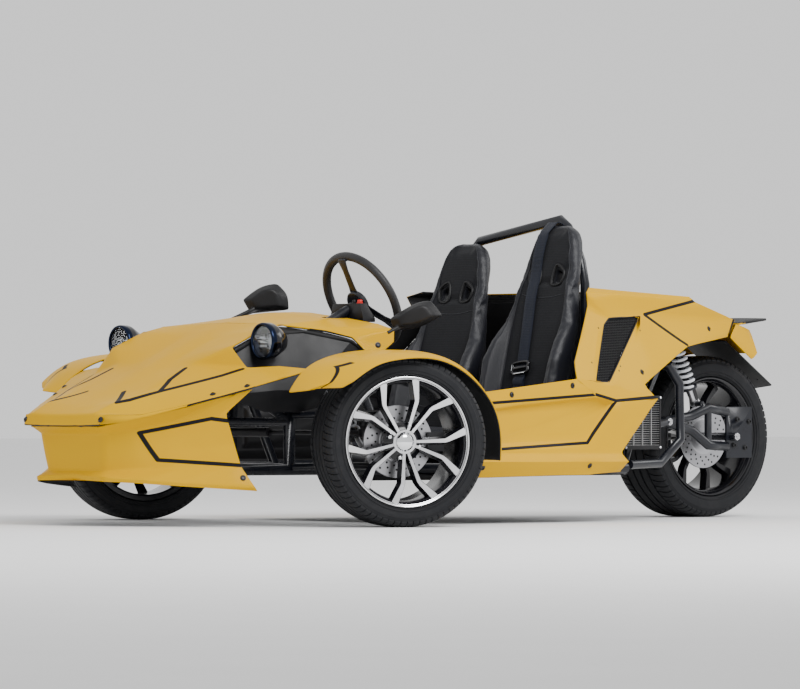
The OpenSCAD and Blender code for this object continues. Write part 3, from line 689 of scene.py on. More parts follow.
# The unpainted side of a panel is black: away gives the direction that is outside at a place.
def creasedPanel(node, material, away, levels=None, values=panelShape):
    piece = softened(nodeCopy(node), values, levels)
    twoFinishes(piece, material, blackSheet, lambda c, n: n.dot(away(c).normalized()) < -0.12)
    outer = {v for face in piece.data.polygons if face.material_index == 0 for v in face.vertices}
    for vert in piece.data.vertices:
        if vert.index not in outer:
            vert.co -= away(vert.co).normalized() * values["backOff"]
    return finish(piece, "chassis", None, node)


# Stripes follow the panels' folds: plan places (x, y) on the hood, side places (x, z) elsewhere.
topView = (1, 1, 0)
sideView = (1, 0, 1)
recessCorner = (-1.035, 0.40)
stripes = {
    "hood": [[(0.63, 0.10), (0.72, 0.185), (0.69, 0.21), (0.595, 0.255), (0.43, 0.348), (0.37, 0.374)],
             [(0.60, 0.25), (0.53, 0.21), (0.46, 0.195)]],
    "bumper": [[(0.466, 0.333), (0.51, 0.34), (0.685, 0.295), (0.635, 0.21), (0.38, 0.19)]],
    "side": [[(-0.38, 0.388), (-0.93, 0.42), recessCorner, (-1.28, 0.414)],
             [recessCorner, (-0.90, 0.262), (-0.38, 0.238)]],
    "quarter": [[(-1.643, 0.742), (-1.337, 0.69), (-1.546, 0.59)], [(-1.915, 0.682), (-1.868, 0.626)],
                [(-0.93, 0.42), recessCorner, (-1.28, 0.414)]],
    "fender": [[(0.33, 0.437), (0.265, 0.503), (0.23, 0.516)]],
}
hoodPaint = bodyPaint("hoodPaint", stripes["hood"], topView, 0.0085)
bumperPaint = bodyPaint("bumperPaint", stripes["bumper"], sideView, 0.006)
sidePaint = bodyPaint("sidePaint", stripes["side"], sideView)
quarterPaint = bodyPaint("quarterPaint", stripes["quarter"], sideView, 0.0055)
fenderPaint = bodyPaint("fenderPaint", stripes["fender"], sideView, 0.0018)
plainPaint = bodyPaint("plainPaint")

skins = {
    "hood": creasedPanel("hood", hoodPaint, lambda c: Vector((0.35, c.y * 0.4, 1))),
    "nose_bumper": creasedPanel("nose_bumper", bumperPaint,
                                lambda c: Vector((c.x - axleX - 0.2, c.y * 1.6, 0))),
    "dash_cowl": creasedPanel("dash_cowl", plainPaint, lambda c: Vector((0.1, c.y * 0.6, 1))),
    "rear_deck": creasedPanel("rear_deck", plainPaint, lambda c: up),
}
fenderShape = dict(panelShape, softFold=24, hardFold=50, rimFold=180)
for side, mark in (("left", 1), ("right", -1)):
    hub = at(0, mark * 0.64, 0.2685)
    sideways = Vector((-0.1, mark, 0.45))
    skins["front_fender_" + side] = creasedPanel("front_fender_" + side, fenderPaint, lambda c: c - hub,
                                                 values=fenderShape)
    for label, paint in (("side_panel_", sidePaint), ("rear_quarter_", quarterPaint)):
        skins[label + side] = creasedPanel(label + side, paint, lambda c: sideways, levels=2)
print("panels shaped")


# ---- wheels ----

# A wheel is built round its axis, Z outward, then set on the hub it turns on.
def wheelPlace(spin, outSide):
    spot = joints[spin]
    axis = Vector(spot["axis"])
    out = axis if axis.y * outSide > 0 else -axis
    across = up.cross(out).normalized()
    return Matrix.Translation(spot["pos_m"]) @ Matrix((across, up, out)).transposed().to_4x4(), out


def around(radius, degrees):
    turn = math.radians(degrees)
    return Vector((radius * math.cos(turn), radius * math.sin(turn), 0))


frontWheel = {"barrelHalf": 0.092, "rimR": 0.205, "beadR": 0.190, "wall": 0.006, "pairs": 5, "firstPair": -82,
              "stations": [(0.032, 12.5, 0.0098, 0.063), (0.045, 11.0, 0.0102, 0.0645),
                           (0.131, 11.8, 0.0138, 0.0725), (0.140, 12.9, 0.015, 0.074),
                           (0.197, 20.2, 0.0235, 0.0885)],
              "depth": 0.026, "flare": 0.0062, "skin": 0.0013, "lugR": 0.052, "lugs": 4, "firstLug": 73}


def armRings(stations, sign, shape):
    points = [around(r, sign * turn) for r, turn, width, top in stations]
    rings = []
    for i, (r, turn, width, top) in enumerate(stations):
        ahead = (points[min(i + 1, len(points) - 1)] - points[max(i - 1, 0)]).normalized()
        across = Vector((-ahead.y, ahead.x, 0))
        rings.append([points[i] + across * s * (width / 2 + grow) + up * (top + drop)
                      for s, grow, drop in shape])
    return rings


def spokes(name, values, shape, count, first, sides=(1, -1)):
    arms = [loft(name + "Arm", armRings(values["stations"], sign, shape), 30) for sign in sides]
    pair = joined(name + "Pair", arms) if len(arms) > 1 else arms[0]
    outward(pair)
    ring = ringOf(name, pair, count, blackCoat)
    return place(ring, Matrix.Rotation(math.radians(first), 4, "Z"))


def barrel(name, values):
    half, rim, bead, wall = (values[k] for k in ("barrelHalf", "rimR", "beadR", "wall"))
    profile = [(bead - wall, -half + 0.004), (bead - wall + 0.006, -half), (rim - 0.001, -half),
               (rim, -half + 0.002), (rim, -half + 0.007), (bead, -half + 0.010), (bead, half - 0.010),
               (rim, half - 0.007), (rim, half - 0.0015), (rim - 0.0015, half), (rim - 0.006, half - 0.0005),
               (bead - wall + 0.005, half - 0.012), (bead - wall, half - 0.03), (bead - wall - 0.002, 0)]
    return lathe(name, profile, 128, True, 28)


def makeFrontWheel(side, mark):
    values = frontWheel
    spin = "front_wheel_" + side + "_spin"
    matrix, out = wheelPlace(spin, mark)
    body = "front_wheel_" + side
    depth, flare, skin = values["depth"], values["flare"], values["skin"]
    dark = [(-1, 0.0004, -skin), (1, 0.0004, -skin), (1, flare, -depth), (-1, flare, -depth)]
    bright = [(-1, 0, -skin), (-1, -0.0008, 0), (1, -0.0008, 0), (1, 0, -skin)]
    bodies = [barrel("rim" + side, values), spokes("arms" + side, values, dark, values["pairs"],
                                                   values["firstPair"])]
    bodies.append(lathe("hub" + side, [(0.012, -0.002), (0.040, -0.002), (0.060, 0.01), (0.066, 0.03),
                                       (0.0635, 0.044), (0.050, 0.053), (0.040, 0.0615), (0.030, 0.0625),
                                       (0.012, 0.0625)], 64))
    finish(place(joined("front_rim_dark_" + side, bodies), matrix), body, glossBlack,
           "front_rim_" + side)
    centre = tuple(matrix.translation)
    machined = turnedMetal("machinedFace" + side.title(), (0.78, 0.78, 0.80), 0.2, centre, tuple(out), 0.0011)
    faces = [spokes("faces" + side, values, bright, values["pairs"], values["firstPair"]),
             lathe("lip" + side, [(0.1955, 0.0872), (0.1965, 0.0898), (0.2035, 0.0932), (0.2052, 0.0925),
                                  (0.2048, 0.0905)], 128, True, 28),
             lathe("hubFace" + side, [(0.0295, 0.0618), (0.0385, 0.0618), (0.0382, 0.0642), (0.0372, 0.0652),
                                      (0.0305, 0.0652)], 64)]
    finish(place(joined("front_rim_bright_" + side, faces), matrix), body, machined)
    nut = lathe("nut", [(0.0, 0.046), (0.0088, 0.046), (0.0088, 0.0605), (0.0066, 0.0655), (0.003, 0.0678),
                        (0.0, 0.068)], 6, True, 20)
    nut = bevel(nut, 0.0006, 2, 25)
    ring = place(nut, Matrix.Translation((values["lugR"], 0, 0)))
    nuts = place(ringOf("nuts" + side, ring, values["lugs"], chrome),
                 Matrix.Rotation(math.radians(values["firstLug"]), 4, "Z"))
    cap = lathe("cap" + side, [(0.0, 0.060), (0.0298, 0.060), (0.0302, 0.0662), (0.029, 0.0675),
                               (0.026, 0.0722),
                               (0.0185, 0.0765), (0.009, 0.0786), (0.0, 0.0792)], 64, True, 40)
    valve = place(lathe("valve", [(0.0, 0.0), (0.0028, 0.0), (0.0028, 0.012), (0.0036, 0.013),
                                  (0.0036, 0.024),
                                  (0.0, 0.025)], 16), Matrix.Translation(around(0.178, -97) + up * 0.055)
                  @ Matrix.Rotation(math.radians(-40), 4, "X"))
    finish(place(joined("front_hub_bright_" + side, [nuts, cap, valve]), matrix), body,
           chrome)
    return matrix


rearWheel = {"barrelHalf": 0.103, "rimR": 0.205, "beadR": 0.190, "wall": 0.006, "pairs": 5, "firstPair": -60,
             "stations": [(0.030, 12.5, 0.013, 0.044), (0.055, 11.0, 0.0135, 0.045),
                          (0.131, 11.8, 0.0145, 0.047), (0.140, 12.9, 0.0155, 0.048),
                          (0.186, 18.5, 0.022, 0.050)],
             "depth": 0.026}


def makeRearWheel():
    values = rearWheel
    matrix, out = wheelPlace("rear_wheel_spin", 1)
    dark = [(-1, 0, -0.002), (-1, -0.001, 0), (1, -0.001, 0), (1, 0, -0.002), (1, 0.0055, -values["depth"]),
            (-1, 0.0055, -values["depth"])]
    parts = [barrel("rearBarrel", values), spokes("rearArms", values, dark, values["pairs"],
                                                  values["firstPair"])]
    parts.append(lathe("rearHub", [(0.0125, -0.06), (0.036, -0.06), (0.038, -0.056), (0.038, -0.01),
                                   (0.052, 0.018),
                                   (0.054, 0.042), (0.046, 0.048), (0.040, 0.0595), (0.0125, 0.06)], 64))
    finish(place(joined("rear_rim_black", parts), matrix), "rear_wheel", glossBlack,
           "rear_rim")
    return matrix


# ---- tyres ----

def tyreProfile(v):
    r, w, rim, seat = v["r"], v["half"], 0.205, v["seat"]
    side = [(0.1906, seat - 0.010), (rim + 0.0006, seat - 0.0092), (rim + 0.0022, seat - 0.006),
            (rim + 0.0045, seat + 0.0005), (rim + 0.0085, w - 0.006), (rim + 0.0105, w - 0.0022),
            (rim + 0.0135, w - 0.0016), (rim + 0.0150, w - 0.0034), (rim + 0.0185, w - 0.0032),
            (rim + 0.0200, w - 0.0014), (r - 0.034, w - 0.0002), (r - 0.028, w - 0.0006),
            (r - 0.0268, w - 0.0022),
            (r - 0.021, w - 0.0042), (r - 0.0168, w - 0.0085), (r - 0.012, w - 0.013),
            (r - 0.0085, w - 0.020),
            (r - 0.0062, v["shoulder"] + 0.002), (r - 0.006, v["shoulder"])]
    for high, low in v["ribs"]:
        side += [(r - 0.006, high + 0.0006), (r - 0.0008, high), (r, high - 0.0012), (r, low + 0.0012),
                 (r - 0.0008, low), (r - 0.006, low - 0.0006)]
    side += [(r - 0.006, v["middle"] + 0.0006), (r - 0.0008, v["middle"]), (r, v["middle"] - 0.0012)]
    return side + [(a, -b) for a, b in reversed(side)]


# One block of the shoulder: it leans, and bends down over the edge of the tread.
def treadBlock(name, v, sign):
    r = v["r"]
    pitch = 2 * math.pi / v["pitches"]
    half = pitch * 0.5 * v["fill"]
    rings = []
    for z, top in v["block"]:
        lean = v["slant"] * (z - v["block"][0][0]) * sign
        low = top + 0.0075
        ring = []
        for turn, reach in ((-half, r - low), (-half, r - top - 0.0006), (-half * 0.9, r - top),
                            (half * 0.9, r - top), (half, r - top - 0.0006), (half, r - low)):
            a = turn + lean
            ring.append(Vector((reach * math.cos(a), reach * math.sin(a), sign * z)))
        rings.append(ring)
    return loft(name, rings, 30)


def makeTyre(name, v, matrix, body):
    carcass = lathe(name + "Carcass", tyreProfile(v), 144, True, 24)
    parts = [carcass]
    for sign in (1, -1):
        parts.append(ringOf(name + "Blocks", treadBlock(name + "Block", v, sign), v["pitches"], tyreRubber))
    return finish(place(joined(name + "_tread", parts), matrix), body, tyreRubber, name)


frontTyre = {"r": 0.2685, "half": 0.098, "seat": 0.092, "shoulder": 0.052, "middle": 0.012,
             "ribs": [(0.044, 0.020)], "pitches": 76, "fill": 0.86, "slant": 0.9,
             "block": [(0.0515, 0.0), (0.064, 0.0005), (0.076, 0.0022), (0.086, 0.0065), (0.0925, 0.0135)]}
rearTyre = {"r": 0.279, "half": 0.1125, "seat": 0.103, "shoulder": 0.060, "middle": 0.013,
            "ribs": [(0.052, 0.021)], "pitches": 72, "fill": 0.84, "slant": 0.9,
            "block": [(0.0595, 0.0), (0.076, 0.0005), (0.090, 0.0022), (0.100, 0.0065), (0.107, 0.0135)]}
for side, mark in (("left", 1), ("right", -1)):
    wheelSpot = makeFrontWheel(side, mark)
    makeTyre("front_tyre_" + side, frontTyre, wheelSpot, "front_wheel_" + side)
makeTyre("rear_tyre", rearTyre, makeRearWheel(), "rear_wheel")
print("wheels made")


# ---- seats ----

seat = {"foot": (-0.915, 0.235, 0.330), "lean": -13.5, "back": -0.050, "apart": (0, -0.470, -0.050),
        "outline": [(0.000, 0.176), (0.030, 0.182), (0.200, 0.185), (0.310, 0.174), (0.405, 0.154),
                    (0.460, 0.140),
                    (0.536, 0.126), (0.600, 0.113), (0.640, 0.099), (0.662, 0.083), (0.678, 0.062),
                    (0.688, 0.036)],
        "bolster": [(0.000, 0.080), (0.200, 0.078), (0.270, 0.060), (0.340, 0.030), (0.400, 0.015),
                    (0.520, 0.012), (0.688, 0.008)],
        "insert": [(0.000, 0.118), (0.300, 0.122), (0.400, 0.118), (0.500, 0.102), (0.600, 0.088),
                   (0.650, 0.066),
                   (0.688, 0.02)],
        "slotY": 0.058, "slotZ": 0.505,
        "slot": [(-0.022, -0.026), (0.014, -0.026), (0.022, 0.008), (-0.014, 0.026)],
        "voxel": 0.005, "pressure": 4.0, "cap": 0.008}


def between(table, where):
    for (a, va), (b, vb) in zip(table, table[1:]):
        if where <= b:
            t = min(max((where - a) / (b - a), 0), 1)
            return va + (vb - va) * t
    return table[-1][1]


def ease(t):
    t = min(max(t, 0), 1)
    return t * t * (3 - 2 * t)


seatPlace = Matrix.Translation(at(*seat["foot"])) @ Matrix.Rotation(math.radians(seat["lean"]), 4, "Y")
cushionPlace = Matrix.Translation(at(seat["foot"][0], seat["foot"][1], 0))


# Front of the back rest: flat insert, bolsters that rise beside it, and a rolled edge.
def backFront(y, z):
    half = between(seat["outline"], z)
    inner = between(seat["insert"], z)
    rise = ease((abs(y) - inner) / max(half * 0.93 - inner, 0.01))
    roll = min(max((abs(y) - half * 0.86) / (half * 0.14), 0), 1)
    top = min(max((z - 0.658) / 0.030, 0), 1)
    fall = 0.030 * (1 - math.sqrt(max(0, 1 - roll ** 2)))
    return between(seat["bolster"], z) * rise - fall - 0.020 * (1 - math.sqrt(max(0, 1 - top ** 2))) - 0.003


def backRear(y, z):
    half = between(seat["outline"], z)
    roll = min(max((abs(y) - half * 0.8) / (half * 0.2), 0), 1)
    top = min(max((z - 0.662) / 0.026, 0), 1)
    return seat["back"] + 0.003 + 0.016 * (1 - math.sqrt(1 - min(roll, 1) ** 2)) + 0.010 * top ** 2


def backShell():
    rings = []
    for z in [0.004, 0.012] + [0.024 + 0.0175 * k for k in range(37)] + [0.664, 0.674, 0.682, 0.688]:
        half = between(seat["outline"], z)
        squeeze = 0.965 if z < 0.01 else 1.0
        front = [(half * squeeze * math.sin(math.pi / 2 * (k / 22)), z) for k in range(-22, 23)]
        rear = [(half * squeeze * math.sin(math.pi / 2 * (k / 8)), z) for k in range(7, -8, -1)]
        rings.append([Vector((backFront(y, z), y, z)) for y, z in front]
                     + [Vector((backRear(y, z), y, z)) for y, z in rear])
    return loft("backShell", rings, 60)


# Padding swells under its cover: remesh, blow up as cloth, and hold each point near its start.
def padded(piece, values, share=1.0):
    addModifier(piece, "REMESH", mode="VOXEL", voxel_size=values["voxel"])
    piece = settle(piece)
    start = [v.co.copy() for v in piece.data.vertices]
    cloth = addModifier(piece, "CLOTH")
    cloth.settings.effector_weights.gravity = 0
    cloth.settings.use_pressure = True
    cloth.settings.uniform_pressure_force = values["pressure"]
    cloth.settings.tension_stiffness = 25
    cloth.settings.bending_stiffness = 2
    cloth.settings.quality = 4
    scene = bpy.context.scene
    for step in range(1, 21):
        scene.frame_set(step)
    piece = settle(piece)
    scene.frame_set(1)
    cap = values["cap"] * share
    for vertex, before in zip(piece.data.vertices, start):
        move = vertex.co - before
        if move.length > cap:
            vertex.co = before + move * (cap / move.length)
    addModifier(piece, "CORRECTIVE_SMOOTH", factor=0.4, iterations=3, use_only_smooth=True)
    piece = settle(piece)
    addModifier(piece, "SUBSURF", levels=1, render_levels=1)
    return smooth(settle(piece), 60)


def cutSlots(piece):
    cutters = []
    for mark in (1, -1):
        outline = [(mark * (seat["slotY"] + y), seat["slotZ"] + z) for y, z in seat["slot"]]
        ends = [[Vector((x, y, z)) for y, z in outline] for x in (-0.1, 0.1)]
        cutters.append(loft("slotCutter", ends))
    cutter = joined("slotCutters", cutters)
    addModifier(piece, "BOOLEAN", object=cutter, operation="DIFFERENCE", solver="EXACT")
    piece = settle(piece)
    bpy.data.objects.remove(cutter)
    return piece


cushion = {"rear": -0.035, "front": 0.392, "half": 0.180, "low": 0.217, "insert": 0.122, "wings": 0.034,
           "top": [(-0.035, 0.262), (0.05, 0.264), (0.20, 0.276), (0.33, 0.284), (0.37, 0.278),
                   (0.392, 0.258)]}


def cushionTop(x, y):
    rise = ease((abs(y) - cushion["insert"]) / 0.036)
    roll = min(max((abs(y) - 0.160) / 0.020, 0), 1)
    fade = 1 - 0.55 * ease((x - 0.30) / 0.09)
    return between(cushion["top"], x) + cushion["wings"] * rise * fade - 0.016 * (1 - math.sqrt(1 - roll ** 2))


def cushionShell():
    rings = []
    count = 28
    for k in range(count + 1):
        x = cushion["rear"] + (cushion["front"] - cushion["rear"]) * k / count
        half = cushion["half"] - 0.012 * ease((x - 0.33) / 0.06)
        low = cushion["low"] + 0.012 * ease((x - 0.37) / 0.03)
        over = [half * math.sin(math.pi / 2 * (j / 16)) for j in range(-16, 17)]
        under = [half * (j / 8) for j in range(7, -8, -1)]
        rings.append([Vector((x, y, cushionTop(x, y))) for y in over] + [Vector((x, y, low)) for y in under])
    return loft("cushionShell", rings, 60)


# Faces over the insert take the fabric; the rest keeps the leather.
def onFabricBack(c, n):
    inner = between(seat["insert"], c.z) + 0.003
    return n.x > 0.3 and abs(c.y) < inner and 0.015 < c.z < 0.668


def onFabricCushion(c, n):
    return n.z > 0.4 and abs(c.y) < cushion["insert"] + 0.002 and c.x < 0.362


# Puts a line of points onto the skin of a piece, looking along one direction.
def dropOn(piece, points, look, lift=0.0):
    tree = BVHTree.FromObject(piece, bpy.context.evaluated_depsgraph_get())
    found = []
    for point in points:
        hit = tree.ray_cast(Vector(point) - look * 0.4, look)
        if hit[0] is not None:
            found.append(hit[0] - look * lift)
    return found


seam = {"gap": 0.0075, "stitch": 0.0048, "thread": 0.00055, "piping": 0.0023}


def seamLines(back, cush):
    ahead = Vector((-1, 0, 0))
    piping = []
    threads = []
    for mark in (1, -1):
        side = [(0, mark * (between(seat["insert"], 0.02 + 0.0158 * k) + 0.003), 0.02 + 0.0158 * k)
                for k in range(41)]
        line = dropOn(back, side, ahead, 0.0002)
        piping.append(place(tubeAlong("backPiping", roundedPath(line, 2), seam["piping"], 8), seatPlace))
        beside = dropOn(back, [(x, y + mark * 0.007, z) for x, y, z in side], ahead, 0.0004)
        threads.append(place(stitched("backStitch", roundedPath(beside, 2), seam, threadBlack), seatPlace))
        edge = [(-0.02 + 0.0095 * k, mark * (cushion["insert"] + 0.002), 0) for k in range(41)]
        line = dropOn(cush, edge, -up, 0.0002)
        piping.append(place(tubeAlong("cushionPiping", roundedPath(line, 2), seam["piping"], 8),
                            cushionPlace))
        beside = dropOn(cush, [(x, y + mark * 0.007, z) for x, y, z in edge], -up, 0.0004)
        threads.append(place(stitched("cushionStitch", roundedPath(beside, 2), seam, threadBlack),
                             cushionPlace))
    for z, reach in ((0.425, 0.104), (0.10, 0.112)):
        across = [(0, -reach + reach * 2 * k / 20, z + 0.012 * (k / 10 - 1) ** 2) for k in range(21)]
        line = dropOn(back, across, ahead, -0.0004)
        piping.append(place(tubeAlong("backChannel", line, 0.0016, 6), seatPlace))
    for x in (0.11, 0.24):
        across = [(x + 0.012 * (k / 10 - 1) ** 2, -0.118 + 0.0118 * k, 0) for k in range(21)]
        line = dropOn(cush, across, -up, -0.0004)
        piping.append(place(tubeAlong("cushionChannel", line, 0.0016, 6), cushionPlace))
    return joined("seatPiping", piping), joined("seatStitches", threads)


def slotBezels():
    rings = []
    for mark in (1, -1):
        outline = [(mark * (seat["slotY"] + y * 1.22), seat["slotZ"] + z * 1.22) for y, z in seat["slot"]]
        line = [Vector((backFront(y, z) + 0.0035, y, z)) for y, z in outline]
        rings.append(tubeAlong("slotBezel", roundedPath(line, 5, True), 0.0065, 10, True, 0.7))
        sleeve = []
        for x in (0.001, -0.052):
            sleeve.append([Vector((x + (backFront(y, z) + 0.004 if x > 0 else 0), y, z)) for y, z in outline])
        mesh = loft("slotSleeve", sleeve)
        editMesh(mesh, lambda bm: bmesh.ops.delete(bm, geom=[f for f in bm.faces if len(f.verts) > 4
                                                             or abs(f.normal.x) > 0.9], context="FACES"))
        addModifier(mesh, "SOLIDIFY", thickness=0.003, offset=0)
        rings.append(settle(mesh))
    return joined("slotBezels", rings)


belt = {"width": 0.052, "thick": 0.0022}


# A strap follows its path flat against the skin it lies on.
def strap(name, path, normals, width, thick):
    rings = []
    n = len(path)
    for i, point in enumerate(path):
        ahead = (path[min(i + 1, n - 1)] - path[max(i - 1, 0)]).normalized()
        out = (normals[i] - ahead * normals[i].dot(ahead)).normalized()
        across = ahead.cross(out)
        h, t = width / 2, thick
        rings.append([point + across * s * h + out * r for s, r in
                      ((-1, 0.15 * t), (-0.97, 0), (0.97, 0), (1, 0.15 * t), (1, 0.85 * t), (0.97, t),
                       (0.5, 0.9 * t),
                       (-0.5, 0.9 * t), (-0.97, t), (-1, 0.85 * t))])
    return loft(name, rings, 40)


def harness(back):
    straps = []
    metal = []
    plastic = []
    ahead = Vector((-1, 0, 0))
    route = [(0.0, -0.046, 0.655), (0.0, -0.050, 0.60), (0.0, -0.054, 0.52), (0.0, -0.050, 0.43),
             (0.0, -0.042, 0.34),
             (0.0, -0.036, 0.26), (0.0, -0.030, 0.185)]
    drawn = roundedPath(route, 5)
    line = [p + Vector((0.006, 0, 0)) for p in dropOn(back, drawn, ahead)]
    for i in range(2):
        line = [line[0]] + [(a + b * 2 + c) / 4 for a, b, c in zip(line, line[1:], line[2:])] + [line[-1]]
    over = [Vector((-0.055, -0.040, 0.60)), Vector((-0.056, -0.041, 0.66)), Vector((-0.044, -0.042, 0.690)),
            Vector((-0.014, -0.044, 0.690))]
    path = roundedPath(over, 4)[:-1] + line
    straps.append(strap("shoulderStrap", path,
                        [Vector((-1, 0, 0.1)) if i < 6 else Vector((0.3, 0, 1)) if i < 14
                                                else Vector((1, 0, 0.12)) for i in range(len(path))],
                        belt["width"], belt["thick"]))
    end = line[-1]
    lap = [end + Vector((0.004, 0, -0.020)), Vector((0.014, -0.026, 0.110)), Vector((0.018, -0.022, 0.055)),
           Vector((0.020, -0.020, 0.004))]
    path = roundedPath(lap, 5)
    straps.append(strap("lapStrap", path, [Vector((1, 0, 0.2))] * len(path), belt["width"] * 0.95,
                        belt["thick"]))
    for k in range(3):
        spot = path[3 + 3 * k]
        straps.append(strap("strapFold", [spot + Vector((0.0035, 0, 0.012)), spot + Vector((0.0075, 0, 0)),
                                          spot + Vector((0.003, 0, -0.012))], [Vector((1, 0, 0.2))] * 3,
                            belt["width"] * 0.98, belt["thick"]))
    frameSpot = Matrix.Translation(end + Vector((0.004, 0, -0.004))) @ Matrix.Rotation(math.radians(6), 4,
                                                                                       "X")
    loop = [Vector((0.003, y, z)) for y, z in ((-0.033, -0.017), (0.033, -0.017), (0.036, 0), (0.033, 0.017),
                                               (-0.033, 0.017), (-0.036, 0))]
    plastic.append(place(tubeAlong("buckleFrame", roundedPath(loop, 5, True), 0.0058, 10, True), frameSpot))
    plastic.append(place(box("buckleBar", (0.000, -0.032, -0.004), (0.009, 0.032, 0.004), 0.0015), frameSpot))
    metal.append(place(box("buckleEdge", (0.0085, -0.028, -0.0215), (0.0100, 0.028, -0.0185), 0.0006),
                       frameSpot))
    metal.append(place(box("buckleSide", (0.0085, -0.0385, -0.012), (0.0100, -0.0365, 0.012), 0.0006),
                       frameSpot))
    return joined("harnessStraps", straps), joined("buckleBlack", plastic), joined("buckleBright", metal)


def makeSeats():
    back = padded(cutSlots(backShell()), seat)
    cush = padded(cushionShell(), seat, 1.2)
    piping, threads = seamLines(back, cush)
    straps, plastic, metal = harness(back)
    twoFinishes(back, seatLeather, seatFabric, onFabricBack)
    twoFinishes(cush, seatLeather, seatFabric, onFabricCushion)
    rails = joined("seatRails", [box("rail", (0.0, m * 0.13 - 0.012, 0.183), (0.36, m * 0.13 + 0.012, 0.2145))
                                 for m in (1, -1)])
    pieces = [("back", place(back, seatPlace), None, "seat_cover"),
              ("cushion", place(cush, cushionPlace), None, "seat_cover"),
              ("piping", piping, seatLeather, "seat_cover"),
              ("stitches", threads, threadBlack, "seat_cover"),
              ("slot_bezels", place(slotBezels(), seatPlace), blackPlastic, "black_plastic"),
              ("harness", place(straps, seatPlace), beltWebbing, "seat_cover"),
              ("buckle", place(plastic, seatPlace), glossBlack, "black_plastic"),
              ("buckle_edge", place(metal, seatPlace), chrome, "machined_alloy"),
              ("rails", place(rails, cushionPlace), blackSheet, "black_sheet")]
    for who, shift in (("passenger", Matrix.Translation(seat["apart"])), ("driver", Matrix.Identity(4))):
        for label, piece, material, slot in pieces:
            if who == "passenger" and label in ("harness", "buckle", "buckle_edge"):
                continue
            mine = piece
            if who == "passenger":
                mine = newPiece("seat", piece.data.copy())
            mine.name = who + "_seat_" + label
            place(mine, shift)
            finish(mine, "chassis", material, who + "_seat" if label == "back" else ())
            label in ("back", "cushion")


makeSeats()
print("seats made")


# ---- frames and plates ----

# Tube frames keep their places; their facets are shaded round.
def roundTubes(node, material, body="chassis", angle=34):
    return finish(smooth(nodeCopy(node), angle), body, material, node)


for node in ("frame_front", "frame_floor", "frame_rear", "side_guards", "roll_bar", "wishbones", "swing_arm"):
    roundTubes(node, blackCoat)
for node in ("floor_pan", "seat_bulkhead", "mudguard"):
    finish(bevel(nodeCopy(node), 0.0015), "chassis", blackSheet, node)
print("frame dressed")


# ---- headlights ----

lampPlace = {"x": 0.262, "y": 0.377, "z": 0.585}


def makeLamps():
    bowls, bezels, glasses, bright, dark = [], [], [], [], []
    for mark in (1, -1):
        where = Matrix.Translation(at(lampPlace["x"], mark * lampPlace["y"], lampPlace["z"])) @ Matrix(
            ((0, 0, 1), (1, 0, 0), (0, 1, 0))).to_4x4()
        bowls.append(place(lathe("lampBowl", [
            (0.0, -0.0495), (0.030, -0.0492), (0.034, -0.046), (0.0565, -0.006), (0.0588, 0.002),
            (0.0588, 0.020),
            (0.0500, 0.020), (0.0470, 0.010), (0.040, -0.008), (0.022, -0.022), (0.0, -0.024)], 72, True,
                                 30), where))
        bezels.append(place(lathe("lampBezel", [
            (0.0492, 0.016), (0.0590, 0.016), (0.0592, 0.027), (0.0575, 0.0325), (0.0545, 0.0338),
            (0.0510, 0.0325),
            (0.0492, 0.0285)], 72, True, 50), where))
        bezels.append(place(lathe("lampFlute",
                                  [(0.0405, 0.004), (0.0485, 0.012), (0.0490, 0.020), (0.0465, 0.018),
                                                (0.0395, 0.008)], 72, True, 50), where))
        glasses.append(place(lathe("lampGlass", [
            (0.0, 0.0335), (0.018, 0.0330), (0.035, 0.0312), (0.0488, 0.0282), (0.0488, 0.0264),
            (0.035, 0.0292),
            (0.018, 0.0310), (0.0, 0.0315)], 72, True, 50), where))
        lens = lathe("lampLens", [(0.0, -0.008), (0.0185, -0.006), (0.0190, 0.002), (0.0165, 0.010),
                                  (0.0110, 0.0158),
                                  (0.0055, 0.0183), (0.0, 0.019)], 48, True, 50)
        ring = lathe("lampRing", [(0.0192, -0.006), (0.0235, -0.006), (0.0240, 0.002), (0.0225, 0.005),
                                  (0.0196, 0.003)], 48, True, 50)
        left = Matrix.Translation((0.020, 0.0, 0.0))
        bright += [place(lens, where @ left), place(ring, where @ left)]
        for low in (-0.019, -0.006, 0.007):
            bright.append(place(box("lampBar", (-0.034, low, 0.002), (-0.006, low + 0.0085, 0.013), 0.0012),
                                where))
        dark.append(place(box("lampBlock", (-0.037, -0.024, -0.012), (-0.003, 0.022, 0.006), 0.002), where))
    finish(joined("headlight_bowls", bowls), "chassis", glossBlack, "headlights")
    finish(joined("headlight_bezels", bezels), "chassis", blueChrome)
    finish(joined("headlight_glass", glasses), "chassis", clearGlass)
    finish(joined("headlight_lenses", bright), "chassis", lensGlass)
    finish(joined("headlight_blocks", dark), "chassis", blackPlastic)


makeLamps()


# ---- vents ----

vent = {"corners": [(-1.309, 0.390, 0.685), (-1.122, 0.442, 0.676), (-1.081, 0.463, 0.652),
                    (-0.941, 0.581, 0.462),
                    (-1.021, 0.560, 0.462)], "normal": (-0.233, 0.894, 0.383), "sunk": 0.0055,
        "pitch": 0.0104}


def inside(point, outline):
    hit = False
    for (ax, ay), (bx, by) in zip(outline, outline[1:] + outline[:1]):
        if (ay > point[1]) != (by > point[1]) and point[0] < (bx - ax) * (point[1] - ay) / (by - ay) + ax:
            hit = not hit
    return hit


